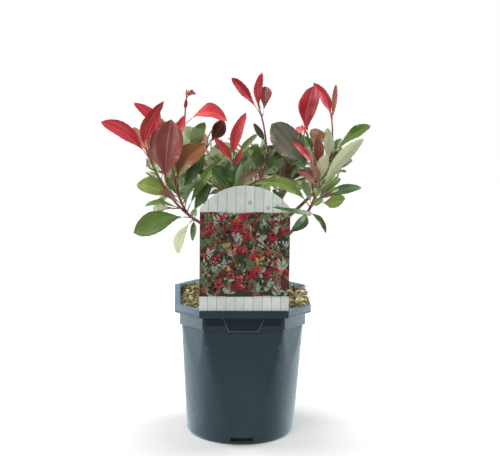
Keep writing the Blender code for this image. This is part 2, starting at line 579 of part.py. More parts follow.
def shoot_curves(mass):
    """The curve and the radii of each shoot of a mass, the first one carrying on from the bough."""
    curves = {}
    for owner, name, parent, part, tip, _count, _last, _tint, _turn in SHOOTS:
        if owner != mass:
            continue
        tip = Vector(tip)
        if parent is None:
            bough = bough_curve(mass)[0]
            onward = heading_at(bough, 1.0)
            curves[name] = (bend(bough[2] + onward * GAP, onward, tip), SHOOT_RADIUS)
        else:
            stem = curves[parent][0]
            root = along(stem, part)
            onward = heading_at(stem, part) + (tip - root).normalized()
            curves[name] = (bend(root, onward, tip), SHOOT_RADIUS * 0.85)
    return curves


# Leaves

def leaf_axes(root, tip, facing, turn):
    """The way across the leaf and the way out of its upper face, turned about its length."""
    ahead = (tip - root).normalized()
    face = facing - ahead * facing.dot(ahead)
    if face.length < 0.05:
        face = Vector((0, 0, 1)) - ahead * ahead.z
    face = Matrix.Rotation(math.radians(turn), 3, ahead) @ face.normalized()
    return face.cross(ahead), face


def blade_half(part, full):
    """Half the blade as a share of its width, from base to tip; full is where it is widest."""
    swell = math.sin(math.pi * part ** (math.log(0.5) / math.log(full)))
    return 0.5 * swell ** (0.62 + 0.5 * (1 - part) ** 2)


def leaf_solid(leaf, grow=0.0):
    """A folded, arching blade on a stalk: four-point rings that close in a tip."""
    root, tip, width, full, bulge, (across, face), _tint = leaf
    thick = LEAF_THICK / 2 + grow
    stalk = STALK_HALF + grow
    stations = [(0.0, stalk, stalk, 0.0), (STALK, stalk, stalk, 0.0)]
    for part in (0.32, 0.74):
        half = width * blade_half(part, full) + grow
        stations.append((STALK + (1 - STALK) * part, half, thick, LEAF_FOLD))
    points = []
    for s, half, deep, fold in stations:
        middle = root.lerp(tip, s) + bulge * (4 * s * (1 - s))
        points.append(middle + across * half + face * half * fold)
        points.append(middle + face * deep)
        points.append(middle - across * half + face * half * fold)
        points.append(middle - face * deep)
    faces = [(0, 1, 2, 3)]
    for row in range(len(stations) - 1):
        for i in range(4):
            j = (i + 1) % 4
            faces.append((row * 4 + i, (row + 1) * 4 + i, (row + 1) * 4 + j, row * 4 + j))
    points.append(tip)
    last = (len(stations) - 1) * 4
    for i in range(4):
        faces.append((last + i, last + 4, last + (i + 1) % 4))
    return points, faces


def tree_of(points, faces):
    return BVHTree.FromPolygons([tuple(p) for p in points], faces, epsilon=0.0)


def blade_tree(points, faces):
    """The part of a leaf past its stalk, which must also keep off the leaves beside it."""
    return tree_of(points, [f for f in faces if min(f) >= 4])


def standing_leaf(row, curve, attempt):
    """A leaf from the table, which faces the front but for its turn; a try moves it in depth."""
    _shoot, t, tip, bulge, width, full, turn, tint = row
    root = along(curve, ROOT_AT_TIP * t)
    tip = Vector(tip)
    tip.y += TRY_NUDGE * (-1) ** attempt * ((attempt + 1) // 2)
    axes = leaf_axes(root, tip, Vector((0, -1, 0)), turn)
    return root, tip, width, full, Vector(bulge), axes, tint


def rule_leaf(curve, t, turn, luck, tint, attempt):
    """A leaf of the spiral: long and spreading low on the shoot, short and upright near its tip."""
    ahead = heading_at(curve, t)
    level, upright = square_axes(ahead)
    angle = math.radians(turn + TRY_TURN * (-1) ** attempt * ((attempt + 1) // 2))
    spread = math.radians(76 - 38 * t + 14 * luck - 3 * attempt)
    side = level * math.cos(angle) + upright * math.sin(angle)
    length = LEAF_LENGTH * (0.92 + 0.2 * luck - 0.35 * t**3) * (1 - TRY_SHORTER * attempt)
    root = along(curve, t)
    tip = root + (ahead * math.cos(spread) + side * math.sin(spread)) * length
    axes = leaf_axes(root, tip, ahead, 30 * (luck - 0.5))
    bulge = axes[1] * length * (0.05 + 0.06 * luck)
    return root, tip, length * LEAF_WIDTH * (0.85 + 0.3 * luck), LEAF_FULL, bulge, axes, tint


def standing_wishes(mass, curves):
    """A maker for each leaf of a mass that is in the table; it takes the number of the try."""
    for row in STANDING_LEAVES:
        if row[0] in curves:
            yield lambda attempt, row=row: standing_leaf(row, curves[row[0]][0], attempt)


def rule_wishes(mass, curves):
    """A maker for each leaf that the spiral gives the shoots of a mass."""
    chance = random.Random("leaves of " + mass)
    for owner, shoot, _parent, _part, _tip, count, last, young, first_turn in SHOOTS:
        if owner != mass:
            continue
        for i in range(count):
            t = 0.08 + (last - 0.08) * (i + 0.5) / count
            luck = chance.random()
            tint = young if t > YOUNG_FROM else chance.choice(OLD_TINTS)
            rule = (curves[shoot][0], t, first_turn + GOLDEN_TURN * i, luck, tint)
            yield lambda attempt, rule=rule: rule_leaf(*rule, attempt)


def outside(p, centre, half_sizes):
    """True where a point lies outside the egg-shaped space of a mass."""
    return sum(((p[i] - centre[i]) / half_sizes[i]) ** 2 for i in range(3)) > 1


def veil_tree(leaf):
    """Ribbons from a leaf towards the viewer, so that no leaf of the rule covers it."""
    points, _faces = leaf_solid(leaf)
    stations = [points[i : i + 4] for i in range(4, 16, 4)]
    ribs = [[(ring[1] + ring[3]) / 2 for ring in stations] + [points[16]]]
    for edge in (0, 2):
        ribs.append([ring[1].lerp(ring[edge], VEIL_WIDTH) for ring in stations])
    ribbons, faces = [], []
    for rib in ribs:
        first = len(ribbons)
        for p in rib:
            ribbons += [p + TO_VIEWER * VEIL_START, p + TO_VIEWER * VEIL_END]
        for i in range(first, len(ribbons) - 2, 2):
            faces.append((i, i + 1, i + 3, i + 2))
    return tree_of(ribbons, faces)


def place_leaves(mass, wishes, taken, veils, by_rule):
    """Every leaf of a mass that fits clear of all that is placed; one by rule has a space."""
    placed = []
    for make in wishes:
        for attempt in range(TRIES):
            leaf = make(attempt)
            points, faces = leaf_solid(leaf, SKIN)
            if by_rule and any(outside(p, *SPACES[mass]) for p in points):
                continue
            whole, blade = tree_of(points, faces), blade_tree(points, faces)
            if by_rule and any(blade.overlap(veil) for veil in veils):
                continue
            if not any(
                whole.overlap(solid) if owner != mass else blade.overlap(other_blade or solid)
                for owner, solid, other_blade in taken
            ):
                taken.append((mass, whole, blade))
                placed.append(leaf)
                if not by_rule:
                    veils.append(veil_tree(leaf))
                break
    return placed


def mean_tint(leaves):
    """The mean colour of a mass's leaves."""
    colours = [TINTS[leaf[6]] for leaf in leaves]
    return [sum(channel) / len(colours) for channel in zip(*colours)]


def build_mass(mass, curves, leaves, material):
    """Fuse a mass's shoots and leaves into one closed solid."""
    loose = bpy.data.collections.new("loose " + mass)
    for name, (curve, radius) in curves.items():
        points, faces = tube(curve, radius, SHOOT_TIP_RADIUS, 4, 6)
        loose.objects.link(bpy.data.objects.new(name, mesh_from(name, points, faces)))
    for leaf in leaves:
        mesh = mesh_from("leaf", *leaf_solid(leaf))
        loose.objects.link(bpy.data.objects.new("leaf", mesh))
    first = loose.objects[0]
    body = add_object("foliage_" + mass, first.data.copy(), material)
    loose.objects.unlink(first)
    bpy.data.objects.remove(first, do_unlink=True)
    apply_boolean(body, "UNION", collection=loose)
    for extra in list(loose.objects):
        bpy.data.objects.remove(extra, do_unlink=True)
    body.data.materials.clear()
    body.data.materials.append(material)
    return body


def mesh_tree(body, grow=0.0):
    """A search tree of a finished body, swollen by grow along its point normals."""
    mesh = body.data
    points = [v.co + v.normal * grow for v in mesh.vertices]
    return tree_of(points, [tuple(p.vertices) for p in mesh.polygons])


def main():
    clear_scene()
    plastic = principled("pot plastic", (0.040, 0.055, 0.066), 0.28)
    bark_mulch = principled("compost and husk", (0.36, 0.24, 0.12), 0.95)
    card = principled("label card", (0.70, 0.69, 0.66), 0.45)
    bark = principled("bark", (0.16, 0.09, 0.06), 0.8)

    solids = [build_pot(plastic), build_compost(bark_mulch), build_label(card), build_stem(bark)]
    solids += [build_bough(name, bark) for name in BOUGHS]

    taken = [("limbs", mesh_tree(body, SKIN), None) for body in solids]
    curves = {mass: shoot_curves(mass) for mass in BOUGHS}
    for mass in BOUGHS:
        for curve, radius in curves[mass].values():
            solid = tube(curve, radius + SKIN, SHOOT_TIP_RADIUS + SKIN, 4, 6)
            taken.append((mass, tree_of(*solid), None))
    veils = []
    leaves = {}
    for mass in BOUGHS:
        wishes = standing_wishes(mass, curves[mass])
        leaves[mass] = place_leaves(mass, wishes, taken, veils, False)
    for mass in BOUGHS:
        wishes = rule_wishes(mass, curves[mass])
        leaves[mass] += place_leaves(mass, wishes, taken, veils, True)
    for mass in BOUGHS:
        foliage = principled("foliage " + mass, mean_tint(leaves[mass]), 0.4)
        build_mass(mass, curves[mass], leaves[mass], foliage)


main()
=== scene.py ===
import math
import random

import bmesh
import bpy
from mathutils import Matrix, Quaternion, Vector, noise
from mathutils.bvhtree import BVHTree


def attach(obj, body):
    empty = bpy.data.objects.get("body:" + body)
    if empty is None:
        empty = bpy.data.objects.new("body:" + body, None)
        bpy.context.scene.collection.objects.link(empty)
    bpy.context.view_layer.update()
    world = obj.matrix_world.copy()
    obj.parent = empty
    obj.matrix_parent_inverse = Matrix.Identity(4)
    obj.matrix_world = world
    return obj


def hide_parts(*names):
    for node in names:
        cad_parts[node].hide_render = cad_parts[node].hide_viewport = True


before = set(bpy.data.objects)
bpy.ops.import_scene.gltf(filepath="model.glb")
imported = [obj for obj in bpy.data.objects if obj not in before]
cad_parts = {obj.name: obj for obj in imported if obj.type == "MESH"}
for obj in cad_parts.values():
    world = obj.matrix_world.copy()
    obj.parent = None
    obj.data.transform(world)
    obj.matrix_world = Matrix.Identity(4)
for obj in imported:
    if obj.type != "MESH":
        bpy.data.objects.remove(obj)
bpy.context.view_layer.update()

# Nursery pot: one moulding of anthracite polypropylene, square with cut corners at the rim and
# round at the foot. A flange turns out over a stepped collar; the label stands in a slot in it,
# and a notch at the foot of each side drains it.
RIM_HALF = 0.085
RIM_SIDE_HALF = 0.055
RIM_HEIGHT = 0.179
LIP_DEPTH = 0.0095
LIP_ROUND = 0.0008
FLANGE_WIDTH = 0.0070
STEP_HALF = 0.0785
STEP_BOTTOM = 0.1530
BASE_RADIUS = 0.0676
FLAT_AT = (0.0682, 0.0761)
FACET_AT = (0.0715, 0.0883)
ROUND_AT = (BASE_RADIUS, 0.0902)
BASE_EDGE = 0.0035
WALL = 0.0016
FLOOR = 0.0024
NOTCH_WIDTH = 0.028
NOTCH_HEIGHT = 0.0055
NOTCH_FOOT = 0.0040
FLOOR_INSET = 0.0030
STRIP_HALF = 0.046
STRIP_DEPTH = 0.0008
STRIP_FOOT = 0.1584
TONGUE_HALF = 0.026
TONGUE_FOOT = 0.1515
TONGUE_TAPER = 0.69
TONGUE_PROUD = 0.0005
TONGUE_LINE = 0.0007
GAP = 0.0003
SIDE_STEPS = 24
CORNER_STEPS = 16
WALL_RINGS = 40


def pot_ring(height, flat, facet=None, cone=1.0):
    """A level ring: flat sides, cut corners at facet's distance, all trimmed by a circle."""
    corner = math.atan2(RIM_SIDE_HALF, RIM_HALF)
    facet = facet or flat * (1 + RIM_SIDE_HALF / RIM_HALF) / math.sqrt(2)
    ring = []
    for side in range(4):
        middle = side * math.pi / 2
        cut = math.pi / 2 - 2 * corner
        angles = [middle - corner + 2 * corner * i / SIDE_STEPS for i in range(SIDE_STEPS)]
        angles += [middle + corner + cut * i / CORNER_STEPS for i in range(CORNER_STEPS)]
        for angle in angles:
            to_side = (angle + math.pi / 4) % (math.pi / 2) - math.pi / 4
            to_corner = angle % (math.pi / 2) - math.pi / 4
            reach = min(cone, flat / math.cos(to_side), facet / math.cos(to_corner))
            ring.append(Vector((reach * math.cos(angle), reach * math.sin(angle), height)))
    return ring


def wall_ring(height, inset=0.0):
    """The body's ring at a height, moved in by inset: its flats, corner facets and cone."""
    part = height / STEP_BOTTOM
    sizes = [foot + (top - foot) * part - inset for foot, top in (FLAT_AT, FACET_AT, ROUND_AT)]
    return pot_ring(height, *sizes)


def stack_rings(rings):
    """Points and faces of a closed skin through rings listed from the bottom, with end caps."""
    count = len(rings[0])
    points = [p for ring in rings for p in ring]
    faces = [tuple(reversed(range(count)))]
    for row in range(len(rings) - 1):
        for i in range(count):
            j = (i + 1) % count
            a, b = row * count + i, row * count + j
            faces.append((a, b, b + count, a + count))
    last = (len(rings) - 1) * count
    faces.append(tuple(range(last, last + count)))
    return points, faces


def make_piece(name, points, faces, *materials):
    """A new object at the origin with a mesh of its own."""
    mesh = bpy.data.meshes.new(name)
    mesh.from_pydata([tuple(p) for p in points], [], faces)
    for material in materials:
        mesh.materials.append(material)
    piece = bpy.data.objects.new(name, mesh)
    bpy.context.scene.collection.objects.link(piece)
    return piece


def apply_modifiers(piece):
    """Keeps the evaluated mesh and drops the modifiers."""
    done = piece.evaluated_get(bpy.context.evaluated_depsgraph_get())
    mesh = bpy.data.meshes.new_from_object(done)
    piece.modifiers.clear()
    piece.data = mesh


def cut_box(low, high, taper=1.0):
    """A box for cutting or joining; taper narrows its foot."""
    corners = [(x, y, z) for z in (low[2], high[2]) for y in (low[1], high[1]) for x in (low[0], high[0])]
    corners = [(x * taper if z == low[2] else x, y, z) for x, y, z in corners]
    faces = [(0, 2, 3, 1), (4, 5, 7, 6), (0, 1, 5, 4), (2, 6, 7, 3), (0, 4, 6, 2), (1, 3, 7, 5)]
    return make_piece("cutter", corners, faces)


def boolean(piece, operation, cutter):
    modifier = piece.modifiers.new("cut", "BOOLEAN")
    modifier.operation = operation
    modifier.object = cutter
    apply_modifiers(piece)
    bpy.data.objects.remove(cutter, do_unlink=True)


def add(tree, kind, sockets, **settings):
    """A node of a kind: a socket takes a constant or another node's output."""
    made = tree.nodes.new(kind)
    for name, value in settings.items():
        setattr(made, name, value)
    for key, value in sockets.items():
        if isinstance(value, bpy.types.NodeSocket):
            tree.links.new(value, made.inputs[key])
        else:
            made.inputs[key].default_value = value
    return made


def ramp(tree, factor, *stops):
    """The colour output of a colour ramp with (place, colour) stops in rising order."""
    made = tree.nodes.new("ShaderNodeValToRGB")
    tree.links.new(factor, made.inputs["Fac"])
    elements = made.color_ramp.elements
    elements[0].position, elements[-1].position = stops[0][0], stops[-1][0]
    for place, _colour in stops[1:-1]:
        elements.new(place)
    for element, (_place, colour) in zip(elements, stops):
        element.color = (*colour, 1.0)
    return made.outputs["Color"]


def start_material(name, roughness):
    """A material with its node tree, its Principled shader and Object coordinates."""
    material = bpy.data.materials.new(name)
    material.use_nodes = True
    tree = material.node_tree
    shader = tree.nodes["Principled BSDF"]
    shader.inputs["Roughness"].default_value = roughness
    place = tree.nodes.new("ShaderNodeTexCoord").outputs["Object"]
    return material, tree, shader, place


def scaled(tree, place, size):
    """Coordinates scaled by a vector, to stretch a pattern."""
    return add(tree, "ShaderNodeMapping", {"Vector": place, "Scale": size}).outputs["Vector"]


def grey(value):
    return (value, value, value)


def new_group(name, inputs, outputs):
    """An empty shader node group with named inputs and outputs, and its input sockets."""
    tree = bpy.data.node_groups.new(name, "ShaderNodeTree")
    for way, sockets in (("INPUT", inputs), ("OUTPUT", outputs)):
        for socket, kind in sockets:
            tree.interface.new_socket(socket, in_out=way, socket_type="NodeSocket" + kind)
    return tree, tree.nodes.new("NodeGroupInput").outputs


def use_group(tree, group, **values):
    """A group's node in a material: each named input takes a colour or another node's output."""
    made = add(tree, "ShaderNodeGroup", {}, node_tree=group)
    for name, value in values.items():
        if isinstance(value, bpy.types.NodeSocket):
            tree.links.new(value, made.inputs[name])
        else:
            made.inputs[name].default_value = (*value, 1.0)
    return made.outputs


def moulded_group():
    """Moulded plastic between two shades: soft dull patches and fine draw lines."""
    tree, given = new_group(
        "moulded_plastic",
        [("Place", "Vector"), ("Dark", "Color"), ("Light", "Color")],
        [("Colour", "Color"), ("Gloss", "Color"), ("Height", "Float")],
    )
    blotch = add(tree, "ShaderNodeTexNoise", {"Vector": given["Place"], "Scale": 22.0, "Detail": 6.0})
    share = ramp(tree, blotch.outputs["Fac"], (0.30, grey(0.0)), (0.75, grey(1.0)))
    tone = add(tree, "ShaderNodeMix", {0: share, 6: given["Dark"], 7: given["Light"]}, data_type="RGBA")
    gloss = ramp(tree, blotch.outputs["Fac"], (0.25, grey(0.22)), (0.80, grey(0.34)))
    stretched = scaled(tree, given["Place"], (6.0, 6.0, 420.0))
    lines = add(tree, "ShaderNodeTexNoise", {"Vector": stretched, "Scale": 1.0})
    sockets = {"Colour": tone.outputs[2], "Gloss": gloss, "Height": lines.outputs["Fac"]}
    add(tree, "NodeGroupOutput", sockets)
    return tree


moulded = moulded_group()


def pot_plastic(name, dark, light):
    """Anthracite plastic with a faint blue bloom."""
    material, tree, shader, place = start_material(name, 0.3)
    shader.inputs["Specular Tint"].default_value = (0.62, 0.86, 1.0, 1.0)
    shader.inputs["Sheen Weight"].default_value = 0.5
    shader.inputs["Sheen Roughness"].default_value = 0.35
    shader.inputs["Sheen Tint"].default_value = (0.45, 0.76, 0.92, 1.0)
    skin = use_group(tree, moulded, Place=place, Dark=dark, Light=light)
    tree.links.new(skin["Colour"], shader.inputs["Base Color"])
    tree.links.new(skin["Gloss"], shader.inputs["Roughness"])
    bump = add(tree, "ShaderNodeBump", {"Height": skin["Height"], "Strength": 0.03, "Distance": 0.0006})
    tree.links.new(bump.outputs["Normal"], shader.inputs["Normal"])
    return material


pot_rings = []
for turn in (0, 20, 40, 60, 80):
    inward = BASE_EDGE * (1 - math.sin(math.radians(turn)))
    rise = BASE_EDGE * (1 - math.cos(math.radians(turn)))
    pot_rings.append(pot_ring(rise, 1.0, 1.0, BASE_RADIUS - inward))
wall_heights = [BASE_EDGE + (STEP_BOTTOM - BASE_EDGE) * i / WALL_RINGS for i in range(WALL_RINGS + 1)]
pot_rings += [wall_ring(height) for height in wall_heights]
lip_bottom = RIM_HEIGHT - LIP_DEPTH
lip_inner = RIM_HALF - FLANGE_WIDTH
lip_profile = [(STEP_HALF - LIP_ROUND, STEP_BOTTOM), (STEP_HALF, STEP_BOTTOM + LIP_ROUND), (STEP_HALF, lip_bottom)]
for centre, height, first in (
    (RIM_HALF - LIP_ROUND, lip_bottom + LIP_ROUND, -90),
    (RIM_HALF - LIP_ROUND, RIM_HEIGHT - LIP_ROUND, 0),
    (lip_inner + LIP_ROUND, RIM_HEIGHT - LIP_ROUND, 90),
):
    for i in range(4):
        turn = math.radians(first + 30 * i)
        lip_profile.append((centre + LIP_ROUND * math.cos(turn), height + LIP_ROUND * math.sin(turn)))
pot_rings += [pot_ring(height, flat) for flat, height in lip_profile]
pot_rings += [wall_ring(height, WALL) for height in reversed(wall_heights[1:])]
pot_rings.append(pot_ring(FLOOR, 1.0, 1.0, BASE_RADIUS - WALL - FLOOR_INSET))
pot = make_piece(
    "pot",
    *stack_rings(pot_rings),
    pot_plastic("pot_plastic", (0.017, 0.028, 0.033), (0.026, 0.040, 0.046)),
    # Dark navy: the tongue's own colour, and on the recessed strip under the lip a painted shade.
    pot_plastic("pot_plastic_mark_and_painted_shade", (0.004, 0.006, 0.013), (0.007, 0.010, 0.020)),
    # Pale: a painted highlight on the ledge round the tongue, where its edge would catch the light.
    pot_plastic("pot_plastic_painted_edge_highlight", (0.120, 0.150, 0.165), (0.180, 0.215, 0.230)),
)
for side in range(4):
    notch = cut_box(
        (BASE_RADIUS - 2 * FLOOR_INSET, -NOTCH_WIDTH / 2, NOTCH_FOOT),
        (BASE_RADIUS + 2 * FLOOR_INSET, NOTCH_WIDTH / 2, NOTCH_FOOT + NOTCH_HEIGHT),
    )
    notch.data.transform(Matrix.Rotation(side * math.pi / 2, 4, "Z"))
    boolean(pot, "DIFFERENCE", notch)
strip = cut_box((-STRIP_HALF, -RIM_HALF, STRIP_FOOT), (STRIP_HALF, -STEP_HALF + STRIP_DEPTH, lip_bottom))
boolean(pot, "DIFFERENCE", strip)
for grow, proud in ((TONGUE_LINE, TONGUE_PROUD / 2), (0.0, TONGUE_PROUD)):
    tongue = cut_box(
        (-TONGUE_HALF - grow, -STEP_HALF - proud, TONGUE_FOOT - grow),
        (TONGUE_HALF + grow, -STEP_HALF + STRIP_DEPTH + GAP, lip_bottom + STRIP_DEPTH),
        TONGUE_TAPER,
    )
    boolean(pot, "UNION", tongue)

# Label slot: the card's foot stands in a narrow slot through the front of the flange.
LABEL_HALF = 0.055
LABEL_Y = -0.0822
LABEL_THICK = 0.0008
SLOT_DEPTH = 0.006
slot = cut_box(
    (-LABEL_HALF - GAP, LABEL_Y - LABEL_THICK / 2 - GAP, RIM_HEIGHT - SLOT_DEPTH),
    (LABEL_HALF + GAP, LABEL_Y + LABEL_THICK / 2 + GAP, RIM_HEIGHT + SLOT_DEPTH),
)
boolean(pot, "DIFFERENCE", slot)
front = -STEP_HALF - TONGUE_PROUD
for face in pot.data.polygons:
    x, y, z = face.center
    if face.normal.y < -0.9 and TONGUE_FOOT - TONGUE_LINE < z < lip_bottom and abs(x) < STRIP_HALF:
        # The tongue's face and the recessed strip take the dark navy; on the strip it is a painted shade under the
        # lip.
        if y < front + GAP / 2 or (z > STRIP_FOOT and y > GAP - STEP_HALF):
            face.material_index = 1
        # The ledge round the tongue takes the pale plastic, a painted edge highlight.
        elif y < -STEP_HALF - GAP / 2:
            face.material_index = 2
pot.data.shade_smooth()
pot.data.set_sharp_from_angle(angle=math.radians(26))
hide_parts("nursery_pot")
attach(pot, "root")

# Compost: dark moist peat that fills the pot; only its edges and a little between the husks
# show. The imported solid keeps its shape.
PEAT_DARK = (0.005, 0.004, 0.003)
PEAT_LIGHT = (0.026, 0.017, 0.010)


def peat():
    """Crumbly dark peat with paler fibres."""
    material, tree, shader, place = start_material("peat", 0.95)
    crumbs = add(tree, "ShaderNodeTexNoise", {"Vector": place, "Scale": 260.0, "Detail": 8.0, "Roughness": 0.7})
    colour = ramp(tree, crumbs.outputs["Fac"], (0.35, PEAT_DARK), (0.7, PEAT_LIGHT))
    tree.links.new(colour, shader.inputs["Base Color"])
    bump = add(
        tree, "ShaderNodeBump", {"Height": crumbs.outputs["Fac"], "Strength": 0.9, "Distance": 0.002}
    )
    tree.links.new(bump.outputs["Normal"], shader.inputs["Normal"])
    return material


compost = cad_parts["compost"]
compost.data.materials.clear()
compost.data.materials.append(peat())

# Husk mulch: a loose layer of dry tan seed husks on the compost. Each husk is a thin curled sliver, and they lie over
# each other at all angles.
HUSK_LENGTH = 0.0112
HUSK_WIDTH = 0.0027
HUSK_THICK = 0.00035
HUSK_CURL = 0.0011
HUSKS_PER_SQUARE_METRE = 100000.0
HUSK_LIFT = 0.0060
HUSK_SEED = 11
SPILL_CORNERS = ((0.064, -0.074), (0.084, -0.055), (0.084, 0.035), (0.075, 0.035))
SPILL_RISE = 0.0008
SPILT_PER_SQUARE_METRE = 70000.0


def husk_material():
    """Dry husk: each one a shade of straw, tan or brown, with a fine mottled grain."""
    material, tree, shader, place = start_material("dry_husk", 0.75)
    tone = add(tree, "ShaderNodeAttribute", {}, attribute_name="tone").outputs["Fac"]
    shade = ramp(
        tree,
        tone,
        (0.0, (0.020, 0.015, 0.006)),
        (0.3, (0.110, 0.080, 0.026)),
        (0.6, (0.36, 0.285, 0.110)),
        (1.0, (0.80, 0.700, 0.390)),
    )
    grain = add(tree, "ShaderNodeTexNoise", {"Vector": place, "Scale": 900.0, "Detail": 3.0})
    mottle = ramp(tree, grain.outputs["Fac"], (0.3, grey(0.62)), (0.7, grey(1.0)))
    colour = add(tree, "ShaderNodeMix", {0: 1.0, 6: shade, 7: mottle}, data_type="RGBA", blend_type="MULTIPLY")
    tree.links.new(colour.outputs[2], shader.inputs["Base Color"])
    bump = add(tree, "ShaderNodeBump", {"Height": grain.outputs["Fac"], "Strength": 0.4, "Distance": 0.0003})
    tree.links.new(bump.outputs["Normal"], shader.inputs["Normal"])
    return material


def husk_mesh():
    """One curled, pointed sliver with a thickness."""
    rings = []
    for i, half in enumerate((0.15, 0.85, 1.0, 0.7, 0.1)):
        along = (i / 4 - 0.5) * HUSK_LENGTH
        lift = HUSK_CURL * (1 - (2 * i / 4 - 1) ** 2)
        wide = half * HUSK_WIDTH / 2
        rings.append(
            [
                Vector((along, -wide, lift)),
                Vector((along, wide, lift)),
                Vector((along, 0, lift + HUSK_THICK + 0.4 * wide)),
            ]
        )
    return stack_rings(rings)


def scatter_tree(name):
    """Geometry nodes: instances of one object strewn over a surface, each with its own tone."""
    tree = bpy.data.node_groups.new(name, "GeometryNodeTree")
    face = tree.interface
    face.new_socket("Geometry", in_out="OUTPUT", socket_type="NodeSocketGeometry")
    for socket, kind in (
        ("Surface", "NodeSocketGeometry"),
        ("Flake", "NodeSocketObject"),
        ("Density", "NodeSocketFloat"),
        ("Tilt", "NodeSocketFloat"),
        ("Lift", "NodeSocketFloat"),
        ("Smallest", "NodeSocketFloat"),
        ("Seed", "NodeSocketInt"),
        ("Material", "NodeSocketMaterial"),
    ):
        face.new_socket(socket, in_out="INPUT", socket_type=kind)
    given = tree.nodes.new("NodeGroupInput").outputs
    strewn = add(
        tree,
        "GeometryNodeDistributePointsOnFaces",
        {"Mesh": given["Surface"], "Density": given["Density"], "Seed": given["Seed"]},
    )
    lift = add(
        tree,
        "FunctionNodeRandomValue",
        {2: 0.0, 3: given["Lift"], "ID": add(tree, "GeometryNodeInputIndex", {}).outputs[0], "Seed": 3},
        data_type="FLOAT",
    )
    up = add(tree, "ShaderNodeCombineXYZ", {"Z": lift.outputs[1]})
    raised = add(tree, "GeometryNodeSetPosition", {"Geometry": strewn.outputs["Points"], "Offset": up.outputs[0]})
    minus = add(tree, "ShaderNodeMath", {0: given["Tilt"], 1: -1.0}, operation="MULTIPLY")
    low = add(tree, "ShaderNodeCombineXYZ", {"X": minus.outputs[0], "Y": minus.outputs[0], "Z": 0.0})
    high = add(tree, "ShaderNodeCombineXYZ", {"X": given["Tilt"], "Y": given["Tilt"], "Z": 2 * math.pi})
    turn = add(
        tree, "FunctionNodeRandomValue", {0: low.outputs[0], 1: high.outputs[0], "Seed": 7}, data_type="FLOAT_VECTOR"
    )
    size = add(tree, "FunctionNodeRandomValue", {2: given["Smallest"], 3: 1.15, "Seed": 9}, data_type="FLOAT")
    flake = add(tree, "GeometryNodeObjectInfo", {"Object": given["Flake"]})
    placed = add(
        tree,
        "GeometryNodeInstanceOnPoints",
        {
            "Points": raised.outputs["Geometry"],
            "Instance": flake.outputs["Geometry"],
            "Rotation": turn.outputs[0],
            "Scale": size.outputs[1],
        },
    )
    tone = add(tree, "FunctionNodeRandomValue", {2: 0.0, 3: 1.0, "Seed": 13}, data_type="FLOAT")
    toned = add(
        tree,
        "GeometryNodeStoreNamedAttribute",
        {"Geometry": placed.outputs[0], "Name": "tone", "Value": tone.outputs[1]},
        data_type="FLOAT",
        domain="INSTANCE",
    )
    whole = add(tree, "GeometryNodeRealizeInstances", {"Geometry": toned.outputs[0]})
    painted = add(
        tree, "GeometryNodeSetMaterial", {"Geometry": whole.outputs[0], "Material": given["Material"]}
    )
    add(tree, "NodeGroupOutput", {"Geometry": painted.outputs[0]})
    return tree


def run_scatter(name, surface, tree, **values):
    """Runs a geometry node tree on a surface object and returns the result as a plain piece."""
    modifier = surface.modifiers.new("scatter", "NODES")
    modifier.node_group = tree
    for item in tree.interface.items_tree:
        if item.in_out == "INPUT" and item.name in values:
            modifier[item.identifier] = values[item.name]
    done = surface.evaluated_get(bpy.context.evaluated_depsgraph_get())
    mesh = bpy.data.meshes.new_from_object(done)
    surface.modifiers.clear()
    mesh.name = name
    piece = bpy.data.objects.new(name, mesh)
    bpy.context.scene.collection.objects.link(piece)
    return piece


husk = make_piece("husk_flake", *husk_mesh())
bed = bmesh.new()
bed.from_mesh(compost.data)
sides = [f for f in bed.faces if f.normal.z < 0.5 or f.calc_center_median().z < STEP_BOTTOM]
bmesh.ops.delete(bed, geom=sides, context="FACES")
bed_mesh = bpy.data.meshes.new("husk_bed")
bed.to_mesh(bed_mesh)
bed.free()
husk_bed = bpy.data.objects.new("husk_bed", bed_mesh)
bpy.context.scene.collection.objects.link(husk_bed)
mulch_tree = scatter_tree("strewn_husks")
dry_husk = husk_material()
mulch = run_scatter(
    "husk_mulch",
    husk_bed,
    mulch_tree,
    Flake=husk,
    Density=HUSKS_PER_SQUARE_METRE,
    Tilt=1.1,
    Lift=HUSK_LIFT,
    Smallest=0.45,
    Seed=HUSK_SEED,
    Material=dry_husk,
)
spill_bed = make_piece("spill_bed", [(x, y, RIM_HEIGHT + SPILL_RISE) for x, y in SPILL_CORNERS], [(0, 1, 2, 3)])
spill = run_scatter(
    "spilt_husks",
    spill_bed,
    mulch_tree,
    Flake=husk,
    Density=SPILT_PER_SQUARE_METRE,
    Tilt=0.3,
    Lift=0.0032,
    Smallest=0.5,
    Seed=5,
    Material=dry_husk,
)
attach(spill, "root")
for helper in (husk, husk_bed, spill_bed):
    bpy.data.objects.remove(helper, do_unlink=True)
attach(mulch, "root")

# Plant label: a printed plastic card with straight sides and an arched top. It shows pale
# boards above and below, and between them a generic print of red and green leaf sprays.
LABEL_SHOULDER = 0.307
LABEL_PEAK = 0.335
PRINT_LOW = 0.1965
PRINT_HIGH = 0.3025
BOARD_WIDTH = 0.0112
NAIL_HEIGHT = 0.327
NAILED_FROM = 0.5
PRINT_LIFT = 0.00004
PRINT_SEED = 4
PRINT_SPRAYS = 430
PRINT_LAYER = 0.000001
PRINT_GROUND = 0
PRINT_COLOURS = (
    ("print_ground", (0.030, 0.030, 0.014)),
    ("print_crimson", (0.46, 0.010, 0.035)),
    ("print_red", (0.56, 0.060, 0.045)),
    ("print_wine", (0.17, 0.012, 0.018)),
    ("print_green", (0.13, 0.20, 0.085)),
    ("print_deep_green", (0.022, 0.050, 0.018)),
    ("print_pale", (0.42, 0.50, 0.38)),
    ("print_straw", (0.56, 0.40, 0.10)),
    ("print_board", (0.66, 0.70, 0.65)),
)
PRINT_SHARES = (2, 8, 4, 6, 9, 4, 5, 1)


